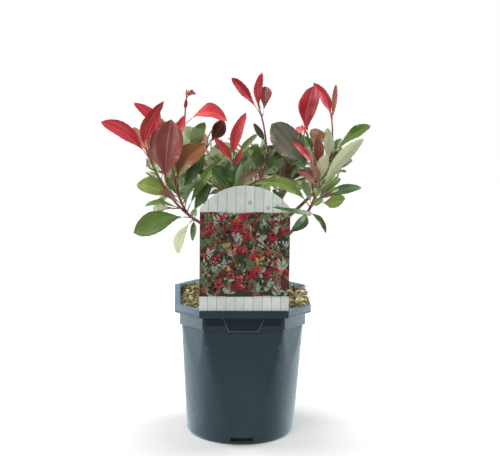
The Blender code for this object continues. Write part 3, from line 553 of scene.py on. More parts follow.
def board_card():
    """A card printed with pale upright boards: joints, grain, and on about half of them a nail near the top."""
    material, tree, shader, place = start_material("label_boards", 0.42)
    split = add(tree, "ShaderNodeSeparateXYZ", {"Vector": place})
    across = add(tree, "ShaderNodeMath", {0: split.outputs["X"], 1: 1 / BOARD_WIDTH}, operation="MULTIPLY")
    board = add(tree, "ShaderNodeMath", {0: across.outputs[0]}, operation="FLOOR")
    within = add(tree, "ShaderNodeMath", {0: across.outputs[0]}, operation="FRACT")
    shade = add(tree, "ShaderNodeTexWhiteNoise", {"W": board.outputs[0]}, noise_dimensions="1D").outputs["Value"]
    long_place = scaled(tree, place, (700.0, 1.0, 90.0))
    grain = add(tree, "ShaderNodeTexNoise", {"Vector": long_place, "Scale": 1.0, "Detail": 5.0}).outputs["Fac"]
    mixed = add(tree, "ShaderNodeMath", {0: shade, 1: 0.3, 2: grain}, operation="MULTIPLY_ADD")
    wood = ramp(tree, mixed.outputs[0], (0.35, (0.58, 0.63, 0.58)), (0.95, (0.80, 0.83, 0.79)))
    off = add(tree, "ShaderNodeMath", {0: within.outputs[0], 1: 0.5}, operation="SUBTRACT").outputs[0]
    edge = add(tree, "ShaderNodeMath", {0: off}, operation="ABSOLUTE").outputs[0]
    joint = ramp(tree, edge, (0.450, grey(1.0)), (0.485, grey(0.50)))
    sideways = add(tree, "ShaderNodeMath", {0: off, 1: BOARD_WIDTH}, operation="MULTIPLY").outputs[0]
    level = add(tree, "ShaderNodeMath", {0: shade, 1: 0.022, 2: split.outputs["Z"]}, operation="MULTIPLY_ADD").outputs[0]
    above = add(tree, "ShaderNodeMath", {0: level, 1: NAIL_HEIGHT}, operation="SUBTRACT").outputs[0]
    spot = add(tree, "ShaderNodeCombineXYZ", {"X": sideways, "Y": above})
    far = add(tree, "ShaderNodeVectorMath", {0: spot.outputs[0]}, operation="LENGTH").outputs["Value"]
    bare = add(tree, "ShaderNodeMath", {0: shade, 1: NAILED_FROM}, operation="LESS_THAN").outputs[0]
    away = add(tree, "ShaderNodeMath", {0: bare, 1: 1.0, 2: far}, operation="MULTIPLY_ADD").outputs[0]
    nail = ramp(tree, away, (0.0003, grey(0.40)), (0.0006, grey(1.0)))
    jointed = add(tree, "ShaderNodeMix", {0: 1.0, 6: wood, 7: joint}, data_type="RGBA", blend_type="MULTIPLY")
    colour = add(
        tree, "ShaderNodeMix", {0: 1.0, 6: jointed.outputs[2], 7: nail}, data_type="RGBA", blend_type="MULTIPLY"
    )
    tree.links.new(colour.outputs[2], shader.inputs["Base Color"])
    return material


def laydown_group():
    """An ink's colour with a fine uneven laydown."""
    tree, given = new_group("ink_laydown", [("Place", "Vector"), ("Ink", "Color")], [("Colour", "Color")])
    speckle = add(tree, "ShaderNodeTexNoise", {"Vector": given["Place"], "Scale": 420.0, "Detail": 3.0})
    uneven = ramp(tree, speckle.outputs["Fac"], (0.3, grey(0.6)), (0.7, grey(1.0)))
    laid = add(tree, "ShaderNodeMix", {0: 1.0, 6: given["Ink"], 7: uneven}, data_type="RGBA", blend_type="MULTIPLY")
    add(tree, "NodeGroupOutput", {"Colour": laid.outputs[2]})
    return tree


laydown = laydown_group()


def ink(name, colour):
    material, tree, shader, place = start_material(name, 0.38)
    laid = use_group(tree, laydown, Place=place, Ink=colour)
    tree.links.new(laid["Colour"], shader.inputs["Base Color"])
    return material


def card_outline():
    """The card's outline from its foot, anticlockwise as seen from the front."""
    rise = LABEL_PEAK - LABEL_SHOULDER
    radius = (LABEL_HALF**2 + rise**2) / (2 * rise)
    sweep = math.asin(LABEL_HALF / radius)
    foot = RIM_HEIGHT - SLOT_DEPTH + GAP
    outline = [(-LABEL_HALF, foot), (LABEL_HALF, foot)]
    for step in range(41):
        turn = sweep * (1 - step / 20)
        outline.append((radius * math.sin(turn), LABEL_PEAK - radius + radius * math.cos(turn)))
    return outline


outline = card_outline()
card_points = []
for y in (LABEL_Y - LABEL_THICK / 2, LABEL_Y + LABEL_THICK / 2):
    card_points += [(x, y, z) for x, z in outline]
corners = len(outline)
card_faces = [tuple(range(corners)), tuple(reversed(range(corners, 2 * corners)))]
for i in range(corners):
    j = (i + 1) % corners
    card_faces.append((j, i, corners + i, corners + j))
card = make_piece("label_card_print", card_points, card_faces, board_card())
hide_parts("label_card")
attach(card, "root")

print_draw = random.Random(PRINT_SEED)
print_points, print_faces, print_inks = [], [], []


def print_shape(corners_xz, layer, colour):
    """One flat printed shape, laid over the ones before it."""
    y = LABEL_Y - LABEL_THICK / 2 - PRINT_LIFT - layer
    first = len(print_points)
    print_points.extend((x, y, z) for x, z in corners_xz)
    print_faces.append(tuple(range(first, first + len(corners_xz))))
    print_inks.append(colour)


def print_leaf(x, z, turn, length, layer, colour):
    """A pointed leaf shape that starts at x, z."""
    half = ((0.25, 0.13), (0.55, 0.18), (0.82, 0.11))
    shape = [(0.0, 0.0)] + [(a, -b) for a, b in half] + [(1.0, 0.0)] + [(a, b) for a, b in reversed(half)]
    c, s = math.cos(turn), math.sin(turn)
    print_shape([(x + length * (a * c - b * s), z + length * (a * s + b * c)) for a, b in shape], layer, colour)


print_box = [(x, z) for x, z in ((-1, PRINT_LOW), (1, PRINT_LOW), (1, PRINT_HIGH), (-1, PRINT_HIGH))]
print_shape([(x * LABEL_HALF, z) for x, z in print_box], 0.0, PRINT_GROUND)
for spray in range(PRINT_SPRAYS):
    x = print_draw.uniform(-LABEL_HALF, LABEL_HALF)
    z = print_draw.uniform(PRINT_LOW, PRINT_HIGH)
    colour = print_draw.choices(range(len(PRINT_SHARES)), PRINT_SHARES)[0]
    upward = print_draw.uniform(1.1, 2.1)
    for leaf in range(print_draw.randint(3, 7)):
        turn = upward + (-1) ** leaf * print_draw.uniform(0.2, 1.1)
        length = print_draw.uniform(0.004, 0.0095)
        print_leaf(x, z, turn, length, PRINT_LAYER * (spray + 1), colour)
        x += 0.0016 * math.cos(upward)
        z += 0.0016 * math.sin(upward)
boards = math.ceil(LABEL_HALF / BOARD_WIDTH)
for board in range(-boards, boards):
    sides = [(board + share) * BOARD_WIDTH for share in (0.03, 0.97)]
    for edge, reach in ((PRINT_LOW, 0.0018), (PRINT_HIGH, -0.0014)):
        end = edge + reach * print_draw.random()
        ends = [(sides[0], edge), (sides[1], edge), (sides[1], end), (sides[0], end)]
        print_shape(ends if reach > 0 else ends[::-1], PRINT_LAYER * (PRINT_SPRAYS + 1), len(PRINT_COLOURS) - 1)
label_print = make_piece(
    "label_print", print_points, print_faces, *[ink(name, colour) for name, colour in PRINT_COLOURS]
)
label_print.data.polygons.foreach_set("material_index", print_inks)
trim = bmesh.new()
trim.from_mesh(label_print.data)
for place, normal in (
    ((LABEL_HALF, 0, 0), (1, 0, 0)),
    ((-LABEL_HALF, 0, 0), (-1, 0, 0)),
    ((0, 0, PRINT_HIGH), (0, 0, 1)),
    ((0, 0, PRINT_LOW), (0, 0, -1)),
):
    whole = trim.verts[:] + trim.edges[:] + trim.faces[:]
    bmesh.ops.bisect_plane(trim, geom=whole, plane_co=place, plane_no=normal, clear_outer=True)
trim.to_mesh(label_print.data)
trim.free()
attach(label_print, "root")

# Stem and boughs: young wood with smooth brown bark, the stem wider at its foot. Each bough grows out of the stem
# through a short collar and tapers to where its leaves begin.
COMPOST_MIDDLE = 0.175
STEM_TOP = (0.004, 0.010, 0.262)
STEM_FOOT_RADIUS = 0.0062
STEM_RADIUS = 0.0046
STEM_TOP_RADIUS = 0.0038
BOUGH_RADIUS = 0.0026
BOUGH_END_RADIUS = 0.0020
BARK_RELIEF = 0.07
COLLAR = 0.35

# Boughs: height on the main stem (none: from its top), how steeply the bough leaves it, and
# where the bough ends and its mass of leaves begins.
BOUGHS = {
    "left": (0.232, 1.0, (-0.060, -0.017, 0.280)),
    "upper_left": (0.250, 0.6, (-0.045, 0.012, 0.292)),
    "front": (0.242, 0.9, (-0.012, -0.040, 0.300)),
    "top": (None, 1.0, (0.019, 0.004, 0.318)),
    "upper_right": (0.252, 0.9, (0.044, -0.006, 0.304)),
    "right": (0.212, 0.65, (0.079, -0.031, 0.291)),
    "far_right": (0.234, 0.8, (0.088, 0.010, 0.306)),
    "back_left": (0.226, 0.8, (-0.044, 0.054, 0.290)),
    "back": (0.244, 0.9, (0.004, 0.060, 0.304)),
    "back_right": (0.219, 0.8, (0.052, 0.058, 0.288)),
}


def bend(start, heading, end):
    """A quadratic curve's three points: it leaves start along heading and ends at end."""
    reach = (end - start).length
    return start, start + heading.normalized() * reach * 0.45, end


def along(curve, t):
    a, b, c = curve
    return a * (1 - t) ** 2 + b * 2 * t * (1 - t) + c * t**2


def heading_at(curve, t):
    a, b, c = curve
    return ((b - a) * (1 - t) + (c - b) * t).normalized()


def square_axes(direction):
    """Two axes square to a direction; the first is level where it can be."""
    level = Vector((0, 0, 1)).cross(direction)
    if level.length < 0.05:
        level = Vector((1, 0, 0))
    level = (level - direction * level.dot(direction)).normalized()
    return level, direction.cross(level)


def tube(curve, start_radius, end_radius, sides, steps, relief=0.0, collar=0.0):
    """A tapering limb along a curve; relief roughens its bark and collar widens its start."""
    rings = []
    level, _upright = square_axes(heading_at(curve, 0.0))
    for step in range(steps + 1):
        t = step / steps
        radius = start_radius + (end_radius - start_radius) * t
        radius *= 1 + collar * max(0.0, 1 - 8 * t) ** 2
        ahead = heading_at(curve, t)
        level = (level - ahead * level.dot(ahead)).normalized()
        upright = ahead.cross(level)
        ring = []
        for side in range(sides):
            angle = 2 * math.pi * side / sides
            outward = level * math.cos(angle) + upright * math.sin(angle)
            place = along(curve, t) + outward * radius
            rough = noise.noise(Vector((place.x * 700, place.y * 700, place.z * 260)))
            ring.append(place + outward * radius * relief * rough)
        rings.append(ring)
    return stack_rings(rings)


def stem_curve():
    foot = Vector((0.0, 0.004, COMPOST_MIDDLE + GAP))
    return bend(foot, Vector((0, 0, 1)), Vector(STEM_TOP))


def bough_curve(name):
    """A bough's curve from the bark of the stem."""
    height, rise, end = BOUGHS[name]
    end = Vector(end)
    stem = stem_curve()
    if height is None:
        start = stem[2] + Vector((0, 0, GAP))
        return bend(start, Vector((0, 0, 1)), end)
    part = (height - stem[0].z) / (stem[2].z - stem[0].z)
    root = along(stem, part)
    outward = Vector((end.x - root.x, end.y - root.y, 0)).normalized()
    bark_at = STEM_RADIUS + (STEM_TOP_RADIUS - STEM_RADIUS) * part
    start = root + outward * (bark_at + GAP)
    return bend(start, outward + Vector((0, 0, rise)), end)


def bark():
    """Young brown bark: fine lengthwise ridges and pale pores."""
    material, tree, shader, place = start_material("bark", 0.7)
    ridges = add(
        tree, "ShaderNodeTexNoise", {"Vector": scaled(tree, place, (700.0, 700.0, 160.0)), "Scale": 1.0, "Detail": 6.0}
    )
    colour = ramp(
        tree,
        ridges.outputs["Fac"],
        (0.3, (0.060, 0.034, 0.024)),
        (0.55, (0.150, 0.085, 0.058)),
        (0.8, (0.270, 0.200, 0.150)),
    )
    pores = add(tree, "ShaderNodeTexVoronoi", {"Vector": place, "Scale": 420.0}, feature="F1")
    spots = ramp(tree, pores.outputs["Distance"], (0.06, grey(1.0)), (0.14, grey(0.0)))
    spotted = add(tree, "ShaderNodeMix", {0: spots, 6: colour, 7: (0.34, 0.26, 0.19, 1.0)}, data_type="RGBA")
    tree.links.new(spotted.outputs[2], shader.inputs["Base Color"])
    bump = add(tree, "ShaderNodeBump", {"Height": ridges.outputs["Fac"], "Strength": 0.8, "Distance": 0.0006})
    tree.links.new(bump.outputs["Normal"], shader.inputs["Normal"])
    return material


def join_shapes(shapes):
    """One list of points and faces out of several."""
    points, faces = [], []
    for more_points, more_faces in shapes:
        first = len(points)
        points += more_points
        faces += [tuple(first + i for i in f) for f in more_faces]
    return points, faces


stem_shape = tube(stem_curve(), STEM_FOOT_RADIUS, STEM_TOP_RADIUS, 20, 40, BARK_RELIEF)
for p in stem_shape[0]:
    axis = along(stem_curve(), min(1.0, (p.z - stem_curve()[0].z) / (STEM_TOP[2] - stem_curve()[0].z)))
    shrink = 1 - (1 - STEM_RADIUS / STEM_FOOT_RADIUS) * min(1.0, (p.z - stem_curve()[0].z) / 0.02)
    p.x, p.y = axis.x + (p.x - axis.x) * shrink, axis.y + (p.y - axis.y) * shrink
limb_shapes = [stem_shape]
for name in BOUGHS:
    curve = bough_curve(name)
    sunk = (curve[0] - heading_at(curve, 0.0) * STEM_RADIUS, curve[1], curve[2])
    limb_shapes.append(tube(sunk, BOUGH_RADIUS, BOUGH_END_RADIUS, 14, 40, BARK_RELIEF, COLLAR))
limbs = make_piece("stem_and_boughs", *join_shapes(limb_shapes), bark())
limbs.data.shade_smooth()
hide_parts("main_stem", *["bough_" + name for name in BOUGHS])
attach(limbs, "root")

# Young shoots: this and last year's growth, thin, red-brown to crimson and slightly shiny. Each mass keeps inside an
# egg: centre and half sizes.
SHOOT_RADIUS = 0.0018
SHOOT_TIP_RADIUS = 0.0012
SPACES = {
    "left": ((-0.088, -0.010, 0.331), (0.055, 0.080, 0.046)),
    "upper_left": ((-0.048, 0.016, 0.348), (0.052, 0.066, 0.050)),
    "front": ((-0.006, -0.045, 0.334), (0.058, 0.050, 0.048)),
    "top": ((0.016, 0.020, 0.335), (0.058, 0.066, 0.034)),
    "upper_right": ((0.046, -0.012, 0.344), (0.054, 0.062, 0.053)),
    "right": ((0.086, -0.030, 0.328), (0.056, 0.068, 0.050)),
    "far_right": ((0.090, 0.030, 0.342), (0.054, 0.060, 0.050)),
    "back_left": ((-0.060, 0.080, 0.338), (0.070, 0.074, 0.054)),
    "back": ((0.004, 0.098, 0.330), (0.072, 0.070, 0.040)),
    "back_right": ((0.062, 0.086, 0.338), (0.070, 0.074, 0.054)),
}

# Shoots: mass, name, the shoot it springs from and how far along, its tip, how many leaves the
# rule gives it and how far up they go, the tint of its young leaves, and the first leaf's turn
# about it in degrees.
SHOOTS = [
    ("left", "red_left", None, 0.0, (-0.122, -0.026, 0.372), 9, 0.96, "red", 200),
    ("left", "wine_left", "red_left", 0.12, (-0.090, -0.024, 0.369), 9, 0.60, "wine", 40),
    ("left", "deep_left", "red_left", 0.10, (-0.090, 0.022, 0.340), 9, 0.96, "bronze", 75),
    ("upper_left", "thin", None, 0.0, (-0.071, 0.020, 0.430), 10, 0.96, "bronze", 120),
    ("upper_left", "olive", "thin", 0.22, (-0.036, 0.030, 0.378), 10, 0.96, "bronze", 10),
    ("front", "heart", None, 0.0, (-0.014, -0.057, 0.363), 12, 0.96, "green", 80),
    ("front", "skirt", "heart", 0.15, (0.026, -0.056, 0.340), 10, 0.96, "green", 300),
    ("front", "skirt_left", "heart", 0.10, (-0.040, -0.058, 0.332), 10, 0.96, "green", 120),
    ("front", "deep_front", "heart", 0.08, (-0.010, -0.018, 0.362), 9, 0.96, "green", 200),
    ("top", "summit", None, 0.0, (0.021, 0.004, 0.415), 9, 0.44, "green", 150),
    ("top", "summit_back", "summit", 0.10, (-0.010, 0.030, 0.372), 10, 0.96, "bronze", 60),
    ("top", "summit_side", "summit", 0.16, (0.046, 0.026, 0.374), 10, 0.96, "green", 330),
    ("top", "summit_front", "summit", 0.12, (0.030, -0.018, 0.364), 9, 0.96, "green", 20),
    ("upper_right", "inner", None, 0.0, (0.050, -0.014, 0.372), 12, 0.96, "green", 90),
    ("upper_right", "inner_low", "inner", 0.06, (0.040, -0.040, 0.345), 11, 0.96, "green", 210),
    ("upper_right", "deep_inner", "inner", 0.10, (0.064, 0.018, 0.360), 9, 0.96, "green", 30),
    ("right", "broad", None, 0.0, (0.077, -0.016, 0.393), 9, 0.96, "bronze", 250),
    ("right", "green_right", "broad", 0.20, (0.095, -0.046, 0.330), 4, 0.96, "light", 20),
    ("right", "low_right", "broad", 0.10, (0.110, -0.030, 0.318), 9, 0.96, "green", 170),
    ("right", "deep_right", "broad", 0.08, (0.106, -0.010, 0.338), 9, 0.96, "green", 250),
    ("far_right", "red_right", None, 0.0, (0.112, 0.010, 0.404), 10, 0.96, "bronze", 310),
    ("far_right", "side_right", "red_right", 0.20, (0.128, 0.040, 0.352), 10, 0.96, "bronze", 100),
    ("back_left", "tall_back_left", None, 0.0, (-0.079, 0.078, 0.353), 10, 0.96, "red", 30),
    ("back_left", "low_back_left", "tall_back_left", 0.14, (-0.104, 0.072, 0.326), 9, 0.96, "bronze", 220),
    ("back_left", "mid_back_left", "tall_back_left", 0.08, (-0.040, 0.098, 0.342), 8, 0.96, "rose", 120),
    ("back", "tall_back", None, 0.0, (0.053, 0.080, 0.354), 10, 0.96, "red", 75),
    ("back", "low_back", "tall_back", 0.12, (-0.012, 0.126, 0.334), 9, 0.96, "rose", 260),
    ("back_right", "tall_back_right", None, 0.0, (0.084, 0.082, 0.377), 10, 0.96, "red", 140),
    ("back_right", "low_back_right", "tall_back_right", 0.14, (0.106, 0.086, 0.322), 9, 0.96, "bronze", 330),
    ("back_right", "mid_back_right", "tall_back_right", 0.08, (0.052, 0.116, 0.336), 8, 0.96, "rose", 15),
]


def shoot_curves(mass):
    """The curve and the radius of each shoot of a mass, the first one carrying on from the bough."""
    curves = {}
    for owner, name, parent, part, tip, _count, _last, _tint, _turn in SHOOTS:
        if owner != mass:
            continue
        tip = Vector(tip)
        if parent is None:
            bough = bough_curve(mass)
            onward = heading_at(bough, 1.0)
            curves[name] = (bend(bough[2] + onward * GAP, onward, tip), SHOOT_RADIUS)
        else:
            stem = curves[parent][0]
            root = along(stem, part)
            onward = heading_at(stem, part) + (tip - root).normalized()
            curves[name] = (bend(root, onward, tip), SHOOT_RADIUS * 0.85)
    return curves


def shoot_skin():
    """Shiny young bark, crimson with brown patches."""
    material, tree, shader, place = start_material("shoot_skin", 0.45)
    patches = add(tree, "ShaderNodeTexNoise", {"Vector": place, "Scale": 90.0, "Detail": 4.0})
    colour = ramp(
        tree,
        patches.outputs["Fac"],
        (0.3, (0.070, 0.018, 0.012)),
        (0.5, (0.160, 0.028, 0.022)),
        (0.75, (0.220, 0.090, 0.045)),
    )
    tree.links.new(colour, shader.inputs["Base Color"])
    bump = add(tree, "ShaderNodeBump", {"Height": patches.outputs["Fac"], "Strength": 0.3, "Distance": 0.0004})
    tree.links.new(bump.outputs["Normal"], shader.inputs["Normal"])
    return material


curves = {mass: shoot_curves(mass) for mass in BOUGHS}
twig_shapes = []
for mass in BOUGHS:
    for curve, radius in curves[mass].values():
        twig_shapes.append(tube(curve, radius, SHOOT_TIP_RADIUS * 0.8, 10, 28, 0.04, 0.15))
shoot_bark = shoot_skin()
twigs = make_piece("shoots", *join_shapes(twig_shapes), shoot_bark)
twigs.data.shade_smooth()
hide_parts(*["foliage_" + mass for mass in BOUGHS])
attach(twigs, "root")

# Leaves: leathery, long oval and finely toothed, on short red stalks; the upper side is glossy
# and the lower side pale and dull. The rule below grows them as the solids' own rule does.
LEAF_LENGTH = 0.068
LEAF_WIDTH = 0.35
LEAF_FULL = 0.60
LEAF_THICK = 0.0014
LEAF_FOLD = 0.30
STALK = 0.13
STALK_HALF = 0.0006
GOLDEN_TURN = 137.5
YOUNG_FROM = 0.80
ROOT_AT_TIP = 0.985
TRIES = 13
TRY_TURN = 14
TRY_SHORTER = 0.03
TRY_NUDGE = 0.0022
SKIN = 0.0006
TO_VIEWER = Vector((-0.043, -0.984, 0.171))
VEIL_WIDTH = 0.6
VEIL_START = 0.002
VEIL_END = 0.15

# Leaves that stand out: shoot, how far along it, the leaf's tip, how far its middle bulges off
# the straight line, its width, how far along it is widest, its turn from facing the front, and
# its tint.
STANDING_LEAVES = [
    ("red_left", 0.90, (-0.176, -0.042, 0.406), (0.004, -0.003, 0.006), 0.021, 0.60, 38, "red"),
    ("red_left", 1.00, (-0.099, -0.040, 0.432), (-0.011, -0.006, -0.002), 0.016, 0.50, -5, "red"),
    ("red_left", 0.97, (-0.136, -0.010, 0.426), (0.016, 0.004, 0.004), 0.016, 0.70, 5, "red"),
    ("red_left", 0.95, (-0.107, 0.004, 0.417), (0.002, 0.002, 0.000), 0.012, 0.58, 15, "red"),
    ("red_left", 0.88, (-0.138, 0.008, 0.393), (0.000, 0.004, 0.003), 0.010, 0.50, 20, "rose"),
    ("red_left", 0.74, (-0.118, 0.004, 0.389), (0.000, 0.000, 0.000), 0.013, 0.50, -10, "rose"),
    ("red_left", 0.50, (-0.090, -0.044, 0.410), (-0.003, -0.010, 0.000), 0.041, 0.66, -8, "wine"),
    ("red_left", 0.46, (-0.123, 0.022, 0.333), (0.000, 0.000, 0.003), 0.010, 0.50, 40, "green"),
    ("red_left", 0.34, (-0.133, -0.030, 0.325), (-0.001, 0.000, 0.006), 0.023, 0.58, 28, "light"),
    ("red_left", 0.26, (-0.105, -0.052, 0.322), (0.000, 0.000, 0.005), 0.009, 0.50, 50, "rose"),
    ("red_left", 0.14, (-0.026, -0.044, 0.362), (-0.003, -0.004, 0.004), 0.013, 0.55, -30, "light"),
    ("red_left", 0.07, (-0.040, -0.034, 0.332), (0.001, -0.003, 0.003), 0.017, 0.55, -25, "green"),
    ("red_left", 0.04, (-0.136, -0.058, 0.271), (0.000, -0.004, 0.008), 0.028, 0.66, 20, "green"),
    ("red_left", 0.02, (-0.081, -0.062, 0.246), (-0.005, -0.004, 0.000), 0.014, 0.55, 165, "light"),
    ("red_left", 0.02, (-0.063, -0.034, 0.256), (0.000, -0.002, 0.000), 0.008, 0.45, 10, "green"),
    ("red_left", 0.06, (-0.059, -0.056, 0.301), (0.000, -0.002, 0.000), 0.009, 0.55, -10, "light"),
    ("wine_left", 1.00, (-0.074, -0.022, 0.412), (0.001, -0.002, 0.000), 0.011, 0.55, -15, "red"),
    ("wine_left", 0.97, (-0.104, -0.022, 0.409), (-0.001, -0.002, 0.004), 0.010, 0.55, 10, "rose"),
    ("wine_left", 0.44, (-0.047, -0.020, 0.377), (-0.010, -0.006, 0.004), 0.028, 0.66, -22, "rust"),
    ("wine_left", 0.34, (-0.050, -0.008, 0.367), (0.001, -0.003, 0.000), 0.018, 0.60, -20, "green"),
    ("wine_left", 0.20, (-0.097, -0.008, 0.334), (0.000, -0.003, 0.004), 0.015, 0.58, 20, "green"),
    ("thin", 1.00, (-0.058, 0.024, 0.432), (0.000, 0.000, 0.005), 0.008, 0.50, -40, "wine"),
    ("thin", 0.80, (-0.020, 0.002, 0.402), (0.001, -0.006, 0.015), 0.022, 0.60, -42, "red"),
    ("thin", 0.90, (-0.072, 0.014, 0.429), (0.000, -0.001, 0.001), 0.005, 0.55, 20, "red"),
    ("thin", 0.48, (-0.063, -0.010, 0.396), (0.000, -0.006, 0.000), 0.031, 0.66, 176, "green"),
    ("thin", 0.58, (-0.048, 0.012, 0.399), (0.000, 0.000, 0.003), 0.015, 0.55, 10, "light"),
    ("olive", 0.86, (-0.024, 0.020, 0.401), (0.001, -0.004, 0.000), 0.018, 0.60, 0, "wine"),
    ("heart", 0.97, (-0.038, -0.060, 0.390), (0.001, -0.003, -0.001), 0.012, 0.50, 35, "red"),
    ("heart", 1.00, (0.001, -0.058, 0.421), (-0.005, -0.003, 0.000), 0.014, 0.50, -15, "red"),
    ("heart", 0.90, (-0.005, -0.066, 0.377), (0.001, -0.002, 0.000), 0.007, 0.50, 10, "red"),
    ("heart", 0.94, (0.016, -0.046, 0.393), (0.000, -0.002, 0.002), 0.009, 0.55, -40, "light"),
    ("heart", 0.42, (-0.004, -0.062, 0.359), (0.000, -0.003, 0.000), 0.009, 0.50, 170, "green"),
    ("heart", 0.34, (0.019, -0.076, 0.355), (-0.003, -0.004, 0.003), 0.010, 0.55, -35, "rust"),
    ("heart", 0.22, (-0.040, -0.056, 0.355), (0.000, -0.004, 0.005), 0.020, 0.58, 25, "green"),
    ("summit", 0.97, (-0.016, -0.012, 0.458), (0.002, -0.004, 0.001), 0.013, 0.68, 30, "red"),
    ("summit", 1.00, (0.023, 0.006, 0.463), (-0.004, -0.003, 0.000), 0.011, 0.55, 8, "red"),
    ("summit", 0.94, (0.028, 0.014, 0.445), (0.001, -0.004, 0.000), 0.017, 0.76, -12, "wine"),
    ("summit", 0.64, (0.012, 0.000, 0.402), (0.000, 0.000, 0.000), 0.008, 0.50, 0, "bronze"),
    ("summit", 0.36, (0.004, -0.016, 0.370), (0.000, -0.003, 0.004), 0.016, 0.60, 25, "light"),
    ("summit", 0.30, (0.042, -0.012, 0.373), (0.000, -0.003, 0.005), 0.015, 0.60, -30, "bronze"),
    ("summit", 0.16, (0.012, -0.036, 0.370), (0.000, -0.004, 0.004), 0.017, 0.60, 10, "green"),
    ("summit", 0.10, (0.049, -0.040, 0.364), (0.000, -0.004, 0.004), 0.020, 0.60, -20, "green"),
    ("broad", 0.60, (0.033, -0.036, 0.404), (-0.004, -0.006, 0.001), 0.036, 0.62, 14, "bronze"),
    ("broad", 0.92, (0.087, -0.012, 0.449), (-0.006, -0.008, 0.000), 0.024, 0.66, 4, "red"),
    ("broad", 0.64, (0.058, -0.054, 0.385), (0.001, -0.002, 0.001), 0.009, 0.50, 30, "red"),
    ("broad", 0.62, (0.089, -0.046, 0.390), (0.003, -0.003, 0.000), 0.013, 0.55, -15, "wine"),
    ("broad", 0.86, (0.096, 0.004, 0.392), (0.001, 0.000, 0.000), 0.020, 0.60, -20, "rust"),
    ("broad", 0.80, (0.075, -0.032, 0.389), (0.000, -0.002, 0.000), 0.009, 0.50, 10, "green"),
    ("broad", 0.36, (0.063, -0.062, 0.350), (0.005, -0.003, 0.005), 0.014, 0.55, 25, "rose"),
    ("broad", 0.44, (0.079, -0.072, 0.365), (0.003, -0.003, 0.000), 0.010, 0.50, -20, "rose"),
    ("broad", 0.14, (0.072, -0.052, 0.337), (0.000, -0.002, 0.000), 0.010, 0.55, 160, "green"),
    ("broad", 0.10, (0.015, -0.076, 0.337), (0.003, -0.003, 0.012), 0.016, 0.50, 30, "light"),
    ("broad", 0.02, (0.031, -0.094, 0.311), (0.018, -0.014, -0.003), 0.009, 0.50, 60, "green"),
    ("broad", 0.02, (0.058, -0.060, 0.275), (0.003, -0.002, 0.000), 0.014, 0.50, 20, "green"),
    ("broad", 0.03, (0.103, -0.040, 0.267), (0.003, 0.000, 0.003), 0.008, 0.50, -30, "green"),
    ("green_right", 1.00, (0.145, -0.060, 0.390), (-0.003, -0.004, 0.003), 0.016, 0.52, 172, "light"),
    ("broad", 0.40, (0.101, -0.056, 0.369), (-0.003, -0.003, 0.000), 0.015, 0.58, 150, "light"),
    ("low_right", 0.45, (0.151, -0.002, 0.319), (0.000, 0.000, 0.004), 0.014, 0.52, -45, "green"),
    ("low_right", 0.34, (0.124, 0.006, 0.330), (0.000, 0.000, 0.004), 0.014, 0.58, -40, "green"),
    ("low_right", 0.42, (0.125, -0.052, 0.314), (0.000, 0.000, -0.005), 0.017, 0.66, -35, "light"),
    ("low_right", 0.05, (0.098, -0.050, 0.313), (-0.001, 0.000, 0.001), 0.009, 0.55, -30, "light"),
    ("inner", 0.86, (0.071, -0.016, 0.390), (0.000, -0.003, 0.000), 0.024, 0.62, 10, "green"),
    ("inner", 0.30, (0.051, -0.050, 0.359), (0.000, -0.003, 0.003), 0.017, 0.60, 15, "rust"),
    ("red_right", 1.00, (0.087, 0.004, 0.451), (0.004, -0.003, 0.001), 0.013, 0.55, 20, "red"),
    ("red_right", 0.98, (0.117, 0.016, 0.448), (0.000, 0.002, 0.000), 0.007, 0.55, -10, "rose"),
    ("red_right", 0.60, (0.163, 0.022, 0.395), (-0.001, 0.000, 0.004), 0.016, 0.66, -40, "light"),
    ("red_right", 0.46, (0.105, -0.006, 0.396), (-0.001, -0.003, 0.000), 0.013, 0.60, 155, "light"),
    ("tall_back_left", 1.00, (-0.084, 0.096, 0.388), (0.000, 0.006, 0.000), 0.017, 0.62, 170, "red"),
    ("tall_back_left", 0.96, (-0.066, 0.080, 0.381), (0.000, 0.004, 0.000), 0.016, 0.62, 190, "red"),
    ("tall_back_left", 0.90, (-0.097, 0.100, 0.379), (0.000, 0.005, 0.000), 0.016, 0.62, 160, "rose"),
    ("tall_back", 1.00, (0.057, 0.092, 0.382), (0.000, 0.006, 0.000), 0.017, 0.62, 180, "red"),
    ("tall_back", 0.94, (0.048, 0.104, 0.377), (0.000, 0.005, 0.000), 0.016, 0.62, 170, "red"),
    ("mid_back_left", 1.00, (-0.057, 0.112, 0.374), (0.000, 0.005, 0.000), 0.017, 0.62, 175, "rose"),
    ("tall_back_right", 1.00, (0.086, 0.096, 0.426), (0.000, 0.006, 0.000), 0.017, 0.66, 180, "red"),
    ("tall_back_right", 0.96, (0.074, 0.104, 0.380), (0.000, 0.005, 0.000), 0.015, 0.60, 170, "red"),
    ("mid_back_right", 1.00, (0.062, 0.122, 0.367), (0.000, 0.005, 0.000), 0.017, 0.62, 180, "wine"),
]

OLD_TINTS = ("green", "green", "green", "light", "bronze")


def leaf_axes(root, tip, facing, turn):
    """The way across the leaf and the way out of its upper face, turned about its length."""
    ahead = (tip - root).normalized()
    face = facing - ahead * facing.dot(ahead)
    if face.length < 0.05:
        face = Vector((0, 0, 1)) - ahead * ahead.z
    face = Matrix.Rotation(math.radians(turn), 3, ahead) @ face.normalized()
    return face.cross(ahead), face


def blade_half(part, full):
    """Half the blade as a share of its width, from base to tip; full is where it is widest."""
    swell = math.sin(math.pi * part ** (math.log(0.5) / math.log(full)))
    return 0.5 * swell ** (0.62 + 0.5 * (1 - part) ** 2)


